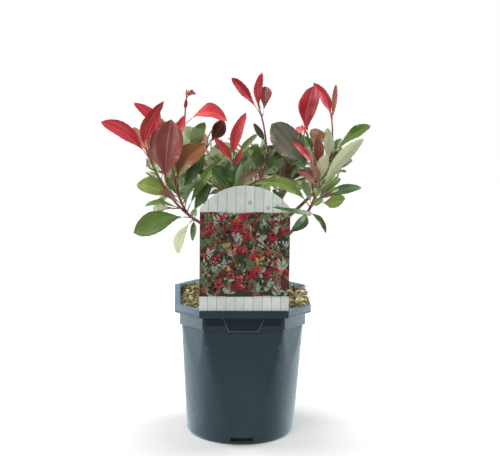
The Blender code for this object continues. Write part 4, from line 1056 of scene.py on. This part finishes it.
def coarse_leaf(leaf, grow):
    """The solids' leaf, for testing what fits: four-point rings that close in a tip."""
    root, tip, width, full, bulge, (across, face), _tint = leaf
    thick = LEAF_THICK / 2 + grow
    stalk = STALK_HALF + grow
    stations = [(0.0, stalk, stalk, 0.0), (STALK, stalk, stalk, 0.0)]
    for part in (0.32, 0.74):
        half = width * blade_half(part, full) + grow
        stations.append((STALK + (1 - STALK) * part, half, thick, LEAF_FOLD))
    points = []
    for s, half, deep, fold in stations:
        middle = root.lerp(tip, s) + bulge * (4 * s * (1 - s))
        points.append(middle + across * half + face * half * fold)
        points.append(middle + face * deep)
        points.append(middle - across * half + face * half * fold)
        points.append(middle - face * deep)
    faces = [(0, 1, 2, 3)]
    for row in range(len(stations) - 1):
        for i in range(4):
            j = (i + 1) % 4
            faces.append((row * 4 + i, (row + 1) * 4 + i, (row + 1) * 4 + j, row * 4 + j))
    points.append(tip)
    last = (len(stations) - 1) * 4
    for i in range(4):
        faces.append((last + i, last + 4, last + (i + 1) % 4))
    return points, faces


def tree_of(points, faces):
    return BVHTree.FromPolygons([tuple(p) for p in points], faces, epsilon=0.0)


def blade_tree(points, faces):
    """The part of a leaf past its stalk, which must also keep off the leaves beside it."""
    return tree_of(points, [f for f in faces if min(f) >= 4])


def solid_tree(name):
    """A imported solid's search tree, with its corners merged and moved out by the clearance."""
    merged = bmesh.new()
    merged.from_mesh(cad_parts[name].data)
    bmesh.ops.remove_doubles(merged, verts=merged.verts[:], dist=0.000001)
    merged.verts.index_update()
    merged.normal_update()
    points = [v.co + v.normal * SKIN for v in merged.verts]
    faces = [tuple(v.index for v in f.verts) for f in merged.faces]
    merged.free()
    return tree_of(points, faces)


def standing_leaf(row, curve, attempt):
    """A leaf from the table, which faces the front but for its turn; a try moves it in depth."""
    _shoot, t, tip, bulge, width, full, turn, tint = row
    root = along(curve, ROOT_AT_TIP * t)
    tip = Vector(tip)
    tip.y += TRY_NUDGE * (-1) ** attempt * ((attempt + 1) // 2)
    axes = leaf_axes(root, tip, Vector((0, -1, 0)), turn)
    return root, tip, width, full, Vector(bulge), axes, tint


def rule_leaf(curve, t, turn, luck, tint, attempt):
    """A leaf of the spiral: long and spreading low on the shoot, short and upright near its tip."""
    ahead = heading_at(curve, t)
    level, upright = square_axes(ahead)
    angle = math.radians(turn + TRY_TURN * (-1) ** attempt * ((attempt + 1) // 2))
    spread = math.radians(76 - 38 * t + 14 * luck - 3 * attempt)
    side = level * math.cos(angle) + upright * math.sin(angle)
    length = LEAF_LENGTH * (0.92 + 0.2 * luck - 0.35 * t**3) * (1 - TRY_SHORTER * attempt)
    root = along(curve, t)
    tip = root + (ahead * math.cos(spread) + side * math.sin(spread)) * length
    axes = leaf_axes(root, tip, ahead, 30 * (luck - 0.5))
    bulge = axes[1] * length * (0.05 + 0.06 * luck)
    return root, tip, length * LEAF_WIDTH * (0.85 + 0.3 * luck), LEAF_FULL, bulge, axes, tint


def standing_wishes(mass, curves):
    """A maker for each leaf of a mass that is in the table; it takes the number of the try."""
    for row in STANDING_LEAVES:
        if row[0] in curves:
            yield lambda attempt, row=row: standing_leaf(row, curves[row[0]][0], attempt)


def rule_wishes(mass, curves):
    """A maker for each leaf that the spiral gives the shoots of a mass."""
    chance = random.Random("leaves of " + mass)
    for owner, shoot, _parent, _part, _tip, count, last, young, first_turn in SHOOTS:
        if owner != mass:
            continue
        for i in range(count):
            t = 0.08 + (last - 0.08) * (i + 0.5) / count
            luck = chance.random()
            tint = young if t > YOUNG_FROM else chance.choice(OLD_TINTS)
            rule = (curves[shoot][0], t, first_turn + GOLDEN_TURN * i, luck, tint)
            yield lambda attempt, rule=rule: rule_leaf(*rule, attempt)


def outside(p, centre, half_sizes):
    """True where a point lies outside the egg-shaped space of a mass."""
    return sum(((p[i] - centre[i]) / half_sizes[i]) ** 2 for i in range(3)) > 1


def veil_tree(leaf):
    """Ribbons from a leaf towards the viewer, so that no leaf of the rule covers it."""
    points, _faces = coarse_leaf(leaf, 0.0)
    stations = [points[i : i + 4] for i in range(4, 16, 4)]
    ribs = [[(ring[1] + ring[3]) / 2 for ring in stations] + [points[16]]]
    for edge in (0, 2):
        ribs.append([ring[1].lerp(ring[edge], VEIL_WIDTH) for ring in stations])
    ribbons, faces = [], []
    for rib in ribs:
        first = len(ribbons)
        for p in rib:
            ribbons += [p + TO_VIEWER * VEIL_START, p + TO_VIEWER * VEIL_END]
        for i in range(first, len(ribbons) - 2, 2):
            faces.append((i, i + 1, i + 3, i + 2))
    return tree_of(ribbons, faces)


def place_leaves(mass, wishes, taken, veils, by_rule):
    """Every leaf of a mass that fits clear of all that is placed; one by rule has a space."""
    placed = []
    for make in wishes:
        for attempt in range(TRIES):
            leaf = make(attempt)
            points, faces = coarse_leaf(leaf, SKIN)
            if by_rule and any(outside(p, *SPACES[mass]) for p in points):
                continue
            whole, blade = tree_of(points, faces), blade_tree(points, faces)
            if by_rule and any(blade.overlap(veil) for veil in veils):
                continue
            if not any(
                whole.overlap(solid) if owner != mass else blade.overlap(other_blade or solid)
                for owner, solid, other_blade in taken
            ):
                taken.append((mass, whole, blade))
                placed.append(leaf)
                if not by_rule:
                    veils.append(veil_tree(leaf))
                break
    return placed


limb_names = ["nursery_pot", "compost", "label_card", "main_stem"] + ["bough_" + name for name in BOUGHS]
taken = [("limbs", solid_tree(name), None) for name in limb_names]
for mass in BOUGHS:
    for curve, radius in curves[mass].values():
        stem_points, stem_faces = tube(curve, radius + SKIN, SHOOT_TIP_RADIUS + SKIN, 4, 6)
        taken.append((mass, tree_of(stem_points, stem_faces), None))
veils = []
standing = {m: place_leaves(m, standing_wishes(m, curves[m]), taken, veils, False) for m in BOUGHS}
by_rule = {m: place_leaves(m, rule_wishes(m, curves[m]), taken, veils, True) for m in BOUGHS}

# Finer twigs: short side twigs fill each mass's own space with small leaves where they find room,
# and each shoot ends in a pair of young leaflets that are still folded.
TWIGS_ON_A_SHOOT = 4
TWIG_LENGTH = 0.014
TWIG_RADIUS = 0.0008
TWIG_LEAVES = (0.45, 0.75, 1.0)
SMALL_SHARE = 0.58
LEAFLET_LENGTH = 0.010
LEAFLET_WIDTH = 0.0024


def side_twig(curve, t, turn, luck):
    """The curve of a short twig off a shoot."""
    ahead = heading_at(curve, t)
    level, upright = square_axes(ahead)
    side = level * math.cos(math.radians(turn)) + upright * math.sin(math.radians(turn))
    way = (ahead * 0.6 + side * 0.8).normalized()
    root = along(curve, t)
    return bend(root, way, root + (way + Vector((0, 0, 0.3))).normalized() * TWIG_LENGTH * (0.7 + luck))


def shrunk(leaf, share):
    root, tip, width, full, bulge, axes, tint = leaf
    return root, root.lerp(tip, share), width * share, full, bulge * share, axes, tint


def small_wishes(curve, luck, first_turn, tint):
    """A maker for each leaf of a side twig."""
    for i, t in enumerate(TWIG_LEAVES):
        rule = (curve, t, first_turn + GOLDEN_TURN * i, luck, tint)
        yield lambda attempt, rule=rule: shrunk(rule_leaf(*rule, attempt), SMALL_SHARE)


def leaflets(curve, tint):
    """Two narrow leaflets that stand nearly closed on a shoot's tip."""
    tip = along(curve, 1.0)
    ahead = heading_at(curve, 1.0)
    level, _upright = square_axes(ahead)
    for side in (-1, 1):
        end = tip + (ahead + level * side * 0.28).normalized() * LEAFLET_LENGTH
        axes = leaf_axes(tip, end, -level * side, 0)
        yield tip - ahead * 0.001, end, LEAFLET_WIDTH, 0.4, level * side * 0.0008, axes, tint


twig_draw = random.Random("side twigs")
twig_curves, small_leaves = [], []
for mass, shoot, _parent, _part, _tip, _count, _last, young, first_turn in SHOOTS:
    shoot_curve = curves[mass][shoot][0]
    for k in range(TWIGS_ON_A_SHOOT):
        t = 0.15 + 0.7 * (k + 0.5) / TWIGS_ON_A_SHOOT
        luck = twig_draw.random()
        tint = twig_draw.choice(OLD_TINTS)
        twig = side_twig(shoot_curve, t, first_turn + 70 + GOLDEN_TURN * k, luck)
        found = place_leaves(mass, small_wishes(twig, luck, 360 * luck, tint), taken, veils, True)
        if found:
            twig_curves.append(twig)
            small_leaves += found
    small_leaves += leaflets(shoot_curve, "red" if young in ("red", "wine", "bronze") else "light")
twig_tubes = [tube(curve, TWIG_RADIUS, TWIG_RADIUS * 0.7, 6, 5) for curve in twig_curves]
fine_twigs = make_piece("fine_twigs", *join_shapes(twig_tubes), shoot_bark)
fine_twigs.data.shade_smooth()
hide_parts(*["foliage_" + mass for mass in BOUGHS])
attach(fine_twigs, "root")

# Blade: rows of points round a thin blade with a finely toothed edge, a sunk midrib above and a
# raised one below. The leaves that stand out have a full ring; the many others a plain one.
BLADE_THICK = 0.0005
MIDRIB = 0.0005
TOOTH = 0.0002
FULL_RING = ((-1.0, 0), (-0.5, 1), (0.0, 1), (0.5, 1), (1.0, 0), (0.5, -1), (0.0, -1), (-0.5, -1))
PLAIN_RING = ((-1.0, 0), (0.0, 1), (1.0, 0), (0.0, -1))
FULL_ROWS = 17
PLAIN_ROWS = 8
CREASE = 34


def leaf_rings(leaf, shape, rows, draw):
    """Rings of points along the stalk and the blade, each with its place along the leaf."""
    root, tip, width, full, bulge, (across, face), _tint = leaf
    length = (tip - root).length
    sway = draw.uniform(-0.02, 0.02) * length
    wave, phase = draw.uniform(0.04, 0.15), draw.uniform(0, 6.28)
    fold = draw.uniform(0.24, 0.52)
    twist = draw.uniform(-0.16, 0.16)
    rings = []

    def middle(s):
        return root.lerp(tip, s) + bulge * (4 * s * (1 - s)) + across * sway * math.sin(math.pi * s)

    for s, radius in ((0.0, 0.0011), (0.5 * STALK, 0.00075), (0.97 * STALK, 0.0007)):
        ring = []
        for i in range(len(shape)):
            angle = math.pi - i * 2 * math.pi / len(shape)
            ring.append(middle(s) + (across * math.cos(angle) + face * math.sin(angle)) * radius)
        rings.append((s, ring))
    for row in range(1, rows + 1):
        part = row / (rows + 1)
        s = STALK + (1 - STALK) * part
        half = width * blade_half(part, full)
        turned = Matrix.Rotation(twist * part, 3, (tip - root).normalized())
        side, up = turned @ across, turned @ face
        ring = []
        for column, level in shape:
            reach = half * column
            if abs(column) == 1.0:
                reach += column * TOOTH * (-1) ** row
            rise = half * fold * abs(column) ** 1.3
            rise += half * wave * abs(column) * math.sin(2 * math.pi * 2.2 * part + phase + column)
            if column == 0.0:
                rise += -0.4 * BLADE_THICK if level > 0 else -MIDRIB * (1 - part)
            rise += level * BLADE_THICK / 2
            ring.append(middle(s) + side * reach + up * rise)
        rings.append((s, ring))
    return rings


def add_leaf(store, leaf, shape, rows, draw):
    """Adds one leaf's points, faces, texture places and material numbers to its tint's store."""
    rings = leaf_rings(leaf, shape, rows, draw)
    count = len(shape)
    first = len(store["points"])
    for _s, ring in rings:
        store["points"] += ring
    store["points"].append(leaf[1])
    store["tone"] += [draw.random()] * (count * len(rings) + 1)
    store["faces"].append(tuple(range(first, first + count)))
    store["side"].append(2)
    store["place"] += [(0.5, 0.0)] * count
    for row in range(len(rings) - 1):
        for i in range(count):
            j = (i + 1) % count
            a, b = first + count * row + i, first + count * row + j
            store["faces"].append((a, a + count, b + count, b))
            store["side"].append(2 if row < 2 else (0 if i < count // 2 else 1))
            low, high = rings[row][0], rings[row + 1][0]
            u, w = (shape[i][0] + 1) / 2, (shape[j][0] + 1) / 2
            store["place"] += [(u, low), (u, high), (w, high), (w, low)]
    last = first + count * (len(rings) - 1)
    for i in range(count):
        j = (i + 1) % count
        store["faces"].append((last + i, last + count, last + j))
        store["side"].append(0 if i < count // 2 else 1)
        u, w = (shape[i][0] + 1) / 2, (shape[j][0] + 1) / 2
        store["place"] += [(u, rings[-1][0]), (0.5, 1.0), (w, rings[-1][0])]


def leaf_pattern():
    """A blade's colour and relief: soft patches of two shades, another shade at the foot, darker edges, a midrib,
    veins that run forward to the edge with the blade puffed between them, and pale streaks along the blade that are a
    painted sheen."""
    tree, given = new_group(
        "leaf_pattern",
        [("Place", "Vector"), ("Spot", "Vector"), ("Tone", "Float")]
        + [(shade, "Color") for shade in ("Dark", "Light", "Foot", "Vein")],
        [("Colour", "Color"), ("Height", "Float"), ("Haze", "Color")],
    )
    split = add(tree, "ShaderNodeSeparateXYZ", {"Vector": given["Place"]})
    offset = add(tree, "ShaderNodeMath", {0: split.outputs["X"], 1: 0.5}, operation="SUBTRACT")
    side = add(tree, "ShaderNodeMath", {0: offset.outputs[0]}, operation="ABSOLUTE").outputs[0]
    midrib = ramp(tree, side, (0.008, grey(0.55)), (0.040, grey(0.0)))
    slant = add(tree, "ShaderNodeMath", {0: side, 1: -46.0}, operation="MULTIPLY")
    row = add(tree, "ShaderNodeMath", {0: split.outputs["Y"], 1: 100.0, 2: slant.outputs[0]}, operation="MULTIPLY_ADD")
    wave = add(tree, "ShaderNodeMath", {0: row.outputs[0]}, operation="SINE").outputs[0]
    veins = ramp(tree, wave, (0.80, grey(0.0)), (1.0, grey(0.13)))
    patch = add(tree, "ShaderNodeTexNoise", {"Vector": given["Spot"], "Scale": 42.0, "Detail": 4.0})
    both = add(tree, "ShaderNodeMath", {0: given["Tone"], 1: patch.outputs["Fac"]}, operation="ADD")
    half = add(tree, "ShaderNodeMath", {0: both.outputs[0], 1: 0.5}, operation="MULTIPLY")
    share = ramp(tree, half.outputs[0], (0.28, grey(0.0)), (0.72, grey(1.0)))
    ground = add(tree, "ShaderNodeMix", {0: share, 6: given["Dark"], 7: given["Light"]}, data_type="RGBA")
    low = ramp(tree, split.outputs["Y"], (0.15, grey(0.85)), (0.60, grey(0.0)))
    footed = add(tree, "ShaderNodeMix", {0: low, 6: ground.outputs[2], 7: given["Foot"]}, data_type="RGBA")
    rim = ramp(tree, side, (0.40, grey(0.0)), (0.50, grey(0.55)))
    edged = add(tree, "ShaderNodeMix", {0: rim, 6: footed.outputs[2], 7: given["Dark"]}, data_type="RGBA")
    own = add(tree, "ShaderNodeMath", {0: given["Tone"], 1: 40.0}, operation="MULTIPLY")
    # Pale streaks along each blade in the veins' shade: a painted sheen.
    sheen_streaks = add(
        tree,
        "ShaderNodeTexNoise",
        {"Vector": scaled(tree, given["Place"], (5.0, 1.6, 1.0)), "W": own.outputs[0], "Scale": 1.0, "Detail": 3.0},
        noise_dimensions="4D",
    )
    painted_sheen = ramp(tree, sheen_streaks.outputs["Fac"], (0.52, grey(0.0)), (0.72, grey(0.60)))
    lines = add(tree, "ShaderNodeMath", {0: veins, 1: midrib}, operation="MAXIMUM").outputs[0]
    # Veins, midrib and the painted sheen all pale the blade towards one shade.
    pale = add(tree, "ShaderNodeMath", {0: lines, 1: painted_sheen}, operation="MAXIMUM").outputs[0]
    colour = add(tree, "ShaderNodeMix", {0: pale, 6: edged.outputs[2], 7: given["Vein"]}, data_type="RGBA")
    pucker = add(tree, "ShaderNodeTexNoise", {"Vector": given["Spot"], "Scale": 150.0, "Detail": 3.0})
    height = add(tree, "ShaderNodeMath", {0: wave, 1: -0.35, 2: pucker.outputs["Fac"]}, operation="MULTIPLY_ADD")
    film = add(tree, "ShaderNodeTexNoise", {"Vector": given["Spot"], "Scale": 90.0, "Detail": 2.0})
    haze = ramp(tree, film.outputs["Fac"], (0.3, grey(0.0)), (0.7, grey(0.17)))
    add(tree, "NodeGroupOutput", {"Colour": colour.outputs[2], "Height": height.outputs[0], "Haze": haze})
    return tree


blade_pattern = leaf_pattern()


def leaf_side(name, shades, roughness, relief):
    """One side of a leaf, from its dark, light and foot shades and the shade of its veins and painted sheen; the gloss
    varies a little.
    """
    material, tree, shader, place = start_material(name, roughness)
    shader.inputs["Specular IOR Level"].default_value = 0.28
    tone = add(tree, "ShaderNodeAttribute", {}, attribute_name="tone").outputs["Fac"]
    own = add(tree, "ShaderNodeUVMap", {}, uv_map="leaf").outputs["UV"]
    dark, light, foot, vein_and_sheen = shades
    blade = use_group(
        tree, blade_pattern, Place=own, Spot=place, Tone=tone, Dark=dark, Light=light, Foot=foot, Vein=vein_and_sheen
    )
    tree.links.new(blade["Colour"], shader.inputs["Base Color"])
    dull = add(tree, "ShaderNodeMath", {0: blade["Haze"], 1: roughness}, operation="ADD")
    tree.links.new(dull.outputs[0], shader.inputs["Roughness"])
    bump = add(tree, "ShaderNodeBump", {"Height": blade["Height"], "Strength": relief, "Distance": 0.0007})
    tree.links.new(bump.outputs["Normal"], shader.inputs["Normal"])
    return material


def stalk_skin():
    """The red, slightly shiny leaf stalk."""
    material, tree, shader, place = start_material("leaf_stalk", 0.45)
    patch = add(tree, "ShaderNodeTexNoise", {"Vector": place, "Scale": 160.0, "Detail": 3.0})
    colour = ramp(tree, patch.outputs["Fac"], (0.3, (0.20, 0.030, 0.028)), (0.7, (0.33, 0.120, 0.060)))
    tree.links.new(colour, shader.inputs["Base Color"])
    return material


# Tints: for each, the upper side's dark, light and foot shades and the shade of its veins and painted sheen (used on
# both sides), then the lower side's dark and light shades. Young leaves are red, and turn through bronze and olive to
# green.
LEAF_COLOURS = {
    "red": (
        (0.30, 0.007, 0.013), (0.62, 0.044, 0.062), (0.44, 0.024, 0.022), (0.70, 0.23, 0.23),
        (0.36, 0.050, 0.050), (0.50, 0.12, 0.11),
    ),
    "rose": (
        (0.22, 0.060, 0.040), (0.44, 0.17, 0.12), (0.32, 0.15, 0.075), (0.54, 0.27, 0.20),
        (0.36, 0.18, 0.13), (0.50, 0.31, 0.23),
    ),
    "wine": (
        (0.085, 0.010, 0.008), (0.27, 0.060, 0.045), (0.21, 0.024, 0.014), (0.42, 0.28, 0.24),
        (0.24, 0.065, 0.045), (0.35, 0.14, 0.10),
    ),
    "rust": (
        (0.095, 0.050, 0.012), (0.25, 0.095, 0.038), (0.15, 0.135, 0.030), (0.33, 0.19, 0.10),
        (0.26, 0.16, 0.09), (0.36, 0.24, 0.15),
    ),
    "bronze": (
        (0.100, 0.096, 0.070), (0.215, 0.172, 0.130), (0.070, 0.115, 0.065), (0.28, 0.25, 0.19),
        (0.24, 0.20, 0.13), (0.33, 0.29, 0.20),
    ),
    "light": (
        (0.080, 0.150, 0.020), (0.24, 0.330, 0.075), (0.19, 0.260, 0.055), (0.38, 0.45, 0.20),
        (0.47, 0.50, 0.31), (0.62, 0.64, 0.43),
    ),
    "green": (
        (0.016, 0.052, 0.016), (0.120, 0.205, 0.042), (0.080, 0.145, 0.028), (0.20, 0.29, 0.11),
        (0.16, 0.23, 0.11), (0.27, 0.35, 0.19),
    ),
}
UPPER_GLOSS = 0.25
LOWER_GLOSS = 0.53

leaf_draw = random.Random("leaf shapes")
stores = {tint: {"points": [], "faces": [], "side": [], "place": [], "tone": []} for tint in LEAF_COLOURS}
for mass in BOUGHS:
    for leaf in standing[mass]:
        add_leaf(stores[leaf[-1]], leaf, FULL_RING, FULL_ROWS, leaf_draw)
    for leaf in by_rule[mass]:
        add_leaf(stores[leaf[-1]], leaf, PLAIN_RING, PLAIN_ROWS, leaf_draw)
for leaf in small_leaves:
    add_leaf(stores[leaf[-1]], leaf, PLAIN_RING, PLAIN_ROWS // 2, leaf_draw)
stalk = stalk_skin()
for tint, (dark, light, foot, vein_and_sheen, under_dark, under_light) in LEAF_COLOURS.items():
    store = stores[tint]
    upper = leaf_side(tint + "_leaf_upper", (dark, light, foot, vein_and_sheen), UPPER_GLOSS, 0.35)
    lower = leaf_side(tint + "_leaf_lower", (under_dark, under_light, under_light, vein_and_sheen), LOWER_GLOSS, 0.2)
    piece = make_piece(tint + "_leaves", store["points"], store["faces"], upper, lower, stalk)
    piece.data.polygons.foreach_set("material_index", store["side"])
    places = piece.data.uv_layers.new(name="leaf")
    places.data.foreach_set("uv", [value for pair in store["place"] for value in pair])
    tones = piece.data.attributes.new("tone", "FLOAT", "POINT")
    tones.data.foreach_set("value", store["tone"])
    piece.data.shade_smooth()
    piece.data.set_sharp_from_angle(angle=math.radians(CREASE))
    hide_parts(*["foliage_" + mass for mass in BOUGHS])
    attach(piece, "root")

# Studio: a white floor that runs back past the view and glows where the camera sees it, the glow fading out near the
# pot as a painted shade round its foot; a broad light overhead, and a tall soft light on each side that draws the
# bright edges on the pot.
FLOOR_SEEN = 0.47
FLOOR_SHADE = 0.60
FLOOR_DARK = 0.34
DARK_WEDGE = 0.80
WEDGE_START = 0.08
# The floor's glow where the camera sees it: none within GLOW_NEAR of the pot's axis and full from GLOW_FAR, a painted
# shade round the pot's foot.
FLOOR_GLOW = 0.55
GLOW_NEAR = 0.10
GLOW_FAR = 0.40


def floor_glow_and_painted_shade():
    """White paint that glows where the camera sees it; the glow fades out towards the pot, a painted shade round its
    foot, and to everything else the floor glows faintly. Out of the direct view it is dark in a wedge before the pot,
    as a black card there would be, so that the pot's front mirrors less light than its corners: painted darkness for
    the pot to reflect."""
    material, tree, shader, place = start_material("floor_glow_and_painted_shade", 0.6)
    seen = tree.nodes.new("ShaderNodeLightPath").outputs["Is Camera Ray"]
    off = add(tree, "ShaderNodeVectorMath", {0: place}, operation="LENGTH").outputs["Value"]
    # The glow fades to nothing near the pot: a painted shade round its foot.
    glow_with_painted_shade = ramp(tree, off, (GLOW_NEAR, grey(0.0)), (GLOW_FAR, grey(FLOOR_GLOW)))
    glow = add(tree, "ShaderNodeMix", {0: seen, 6: (0.05, 0.05, 0.05, 1.0), 7: glow_with_painted_shade}, data_type="RGBA")
    shader.inputs["Emission Strength"].default_value = 1.0
    tree.links.new(glow.outputs[2], shader.inputs["Emission Color"])
    split = add(tree, "ShaderNodeSeparateXYZ", {"Vector": place})
    aside = add(tree, "ShaderNodeMath", {0: split.outputs["X"]}, operation="ABSOLUTE")
    ahead = add(tree, "ShaderNodeMath", {0: WEDGE_START, 1: split.outputs["Y"]}, operation="SUBTRACT")
    within = add(
        tree, "ShaderNodeMath", {0: aside.outputs[0], 1: -DARK_WEDGE, 2: ahead.outputs[0]}, operation="MULTIPLY_ADD"
    )
    wedge = ramp(tree, within.outputs[0], (0.015, grey(FLOOR_SHADE)), (0.07, grey(FLOOR_DARK)))
    paint = add(tree, "ShaderNodeMix", {0: seen, 6: wedge, 7: (*grey(FLOOR_SEEN), 1.0)}, data_type="RGBA")
    tree.links.new(paint.outputs[2], shader.inputs["Base Color"])
    return material


floor = make_piece("floor", [(-14, -14, 0), (14, -14, 0), (14, 14, 0), (-14, 14, 0)], [(0, 1, 2, 3)])
floor.data.materials.append(floor_glow_and_painted_shade())


def soft_light(name, place, aim, width, height, power):
    """A rectangular soft light turned towards a point."""
    lamp = bpy.data.lights.new(name, "AREA")
    lamp.shape = "RECTANGLE"
    lamp.size, lamp.size_y = width, height
    lamp.energy = power
    holder = bpy.data.objects.new(name, lamp)
    holder.location = place
    holder.rotation_euler = (Vector(aim) - Vector(place)).to_track_quat("-Z", "Y").to_euler()
    holder.visible_camera = False
    bpy.context.scene.collection.objects.link(holder)


SKY_TOP = 0.9
SKY_EDGE = 0.30
SUN_POWER = 1.6
SUN_WIDTH = 38
SUN_TURN = (38, 0, -24)
SIDE_LIGHT = 8.0
for side, back in ((-1, 0.12), (1, 0.175)):
    soft_light("side_light", (side * 0.50, back, 0.36), (0, back, 0.30), 0.40, 0.70, SIDE_LIGHT)

key = bpy.data.lights.new("key_light", "SUN")
key.energy = SUN_POWER
key.angle = math.radians(SUN_WIDTH)
key_holder = bpy.data.objects.new("key_light", key)
key_holder.rotation_euler = [math.radians(turn) for turn in SUN_TURN]
bpy.context.scene.collection.objects.link(key_holder)

world = bpy.data.worlds.new("studio")
bpy.context.scene.world = world
world.use_nodes = True
sky = world.node_tree
way = add(sky, "ShaderNodeSeparateXYZ", {"Vector": sky.nodes.new("ShaderNodeTexCoord").outputs["Generated"]})
upward = add(sky, "ShaderNodeMath", {0: way.outputs["Z"], 1: 0.0}, operation="MAXIMUM")
squared = add(sky, "ShaderNodeMath", {0: upward.outputs[0], 1: 2.0}, operation="POWER")
bright = add(
    sky, "ShaderNodeMath", {0: squared.outputs[0], 1: SKY_TOP - SKY_EDGE, 2: SKY_EDGE}, operation="MULTIPLY_ADD"
)
sky.nodes["Background"].inputs["Color"].default_value = (0.98, 0.99, 1.0, 1.0)
sky.links.new(bright.outputs[0], sky.nodes["Background"].inputs["Strength"])
bpy.context.scene.view_settings.view_transform = "Standard"

# Camera: the photograph's view, a little above the rim and slightly turned, on a long lens.
CAMERA_PLACE = (-0.0834, -1.9345, 0.6659)
CAMERA_AIM = (0.0101, 0.0, 0.2657)
CAMERA_ROLL = 0.75
CAMERA_LENS = 112.1
SENSOR_WIDTH = 36.0
camera = bpy.data.objects.new("camera", bpy.data.cameras.new("camera"))
camera.data.lens = CAMERA_LENS
camera.data.sensor_width = SENSOR_WIDTH
look = (Vector(CAMERA_AIM) - Vector(CAMERA_PLACE)).to_track_quat("-Z", "Y")
camera.rotation_euler = (look @ Quaternion((0, 0, 1), math.radians(CAMERA_ROLL))).to_euler()
camera.location = CAMERA_PLACE
bpy.context.scene.collection.objects.link(camera)
bpy.context.scene.camera = camera
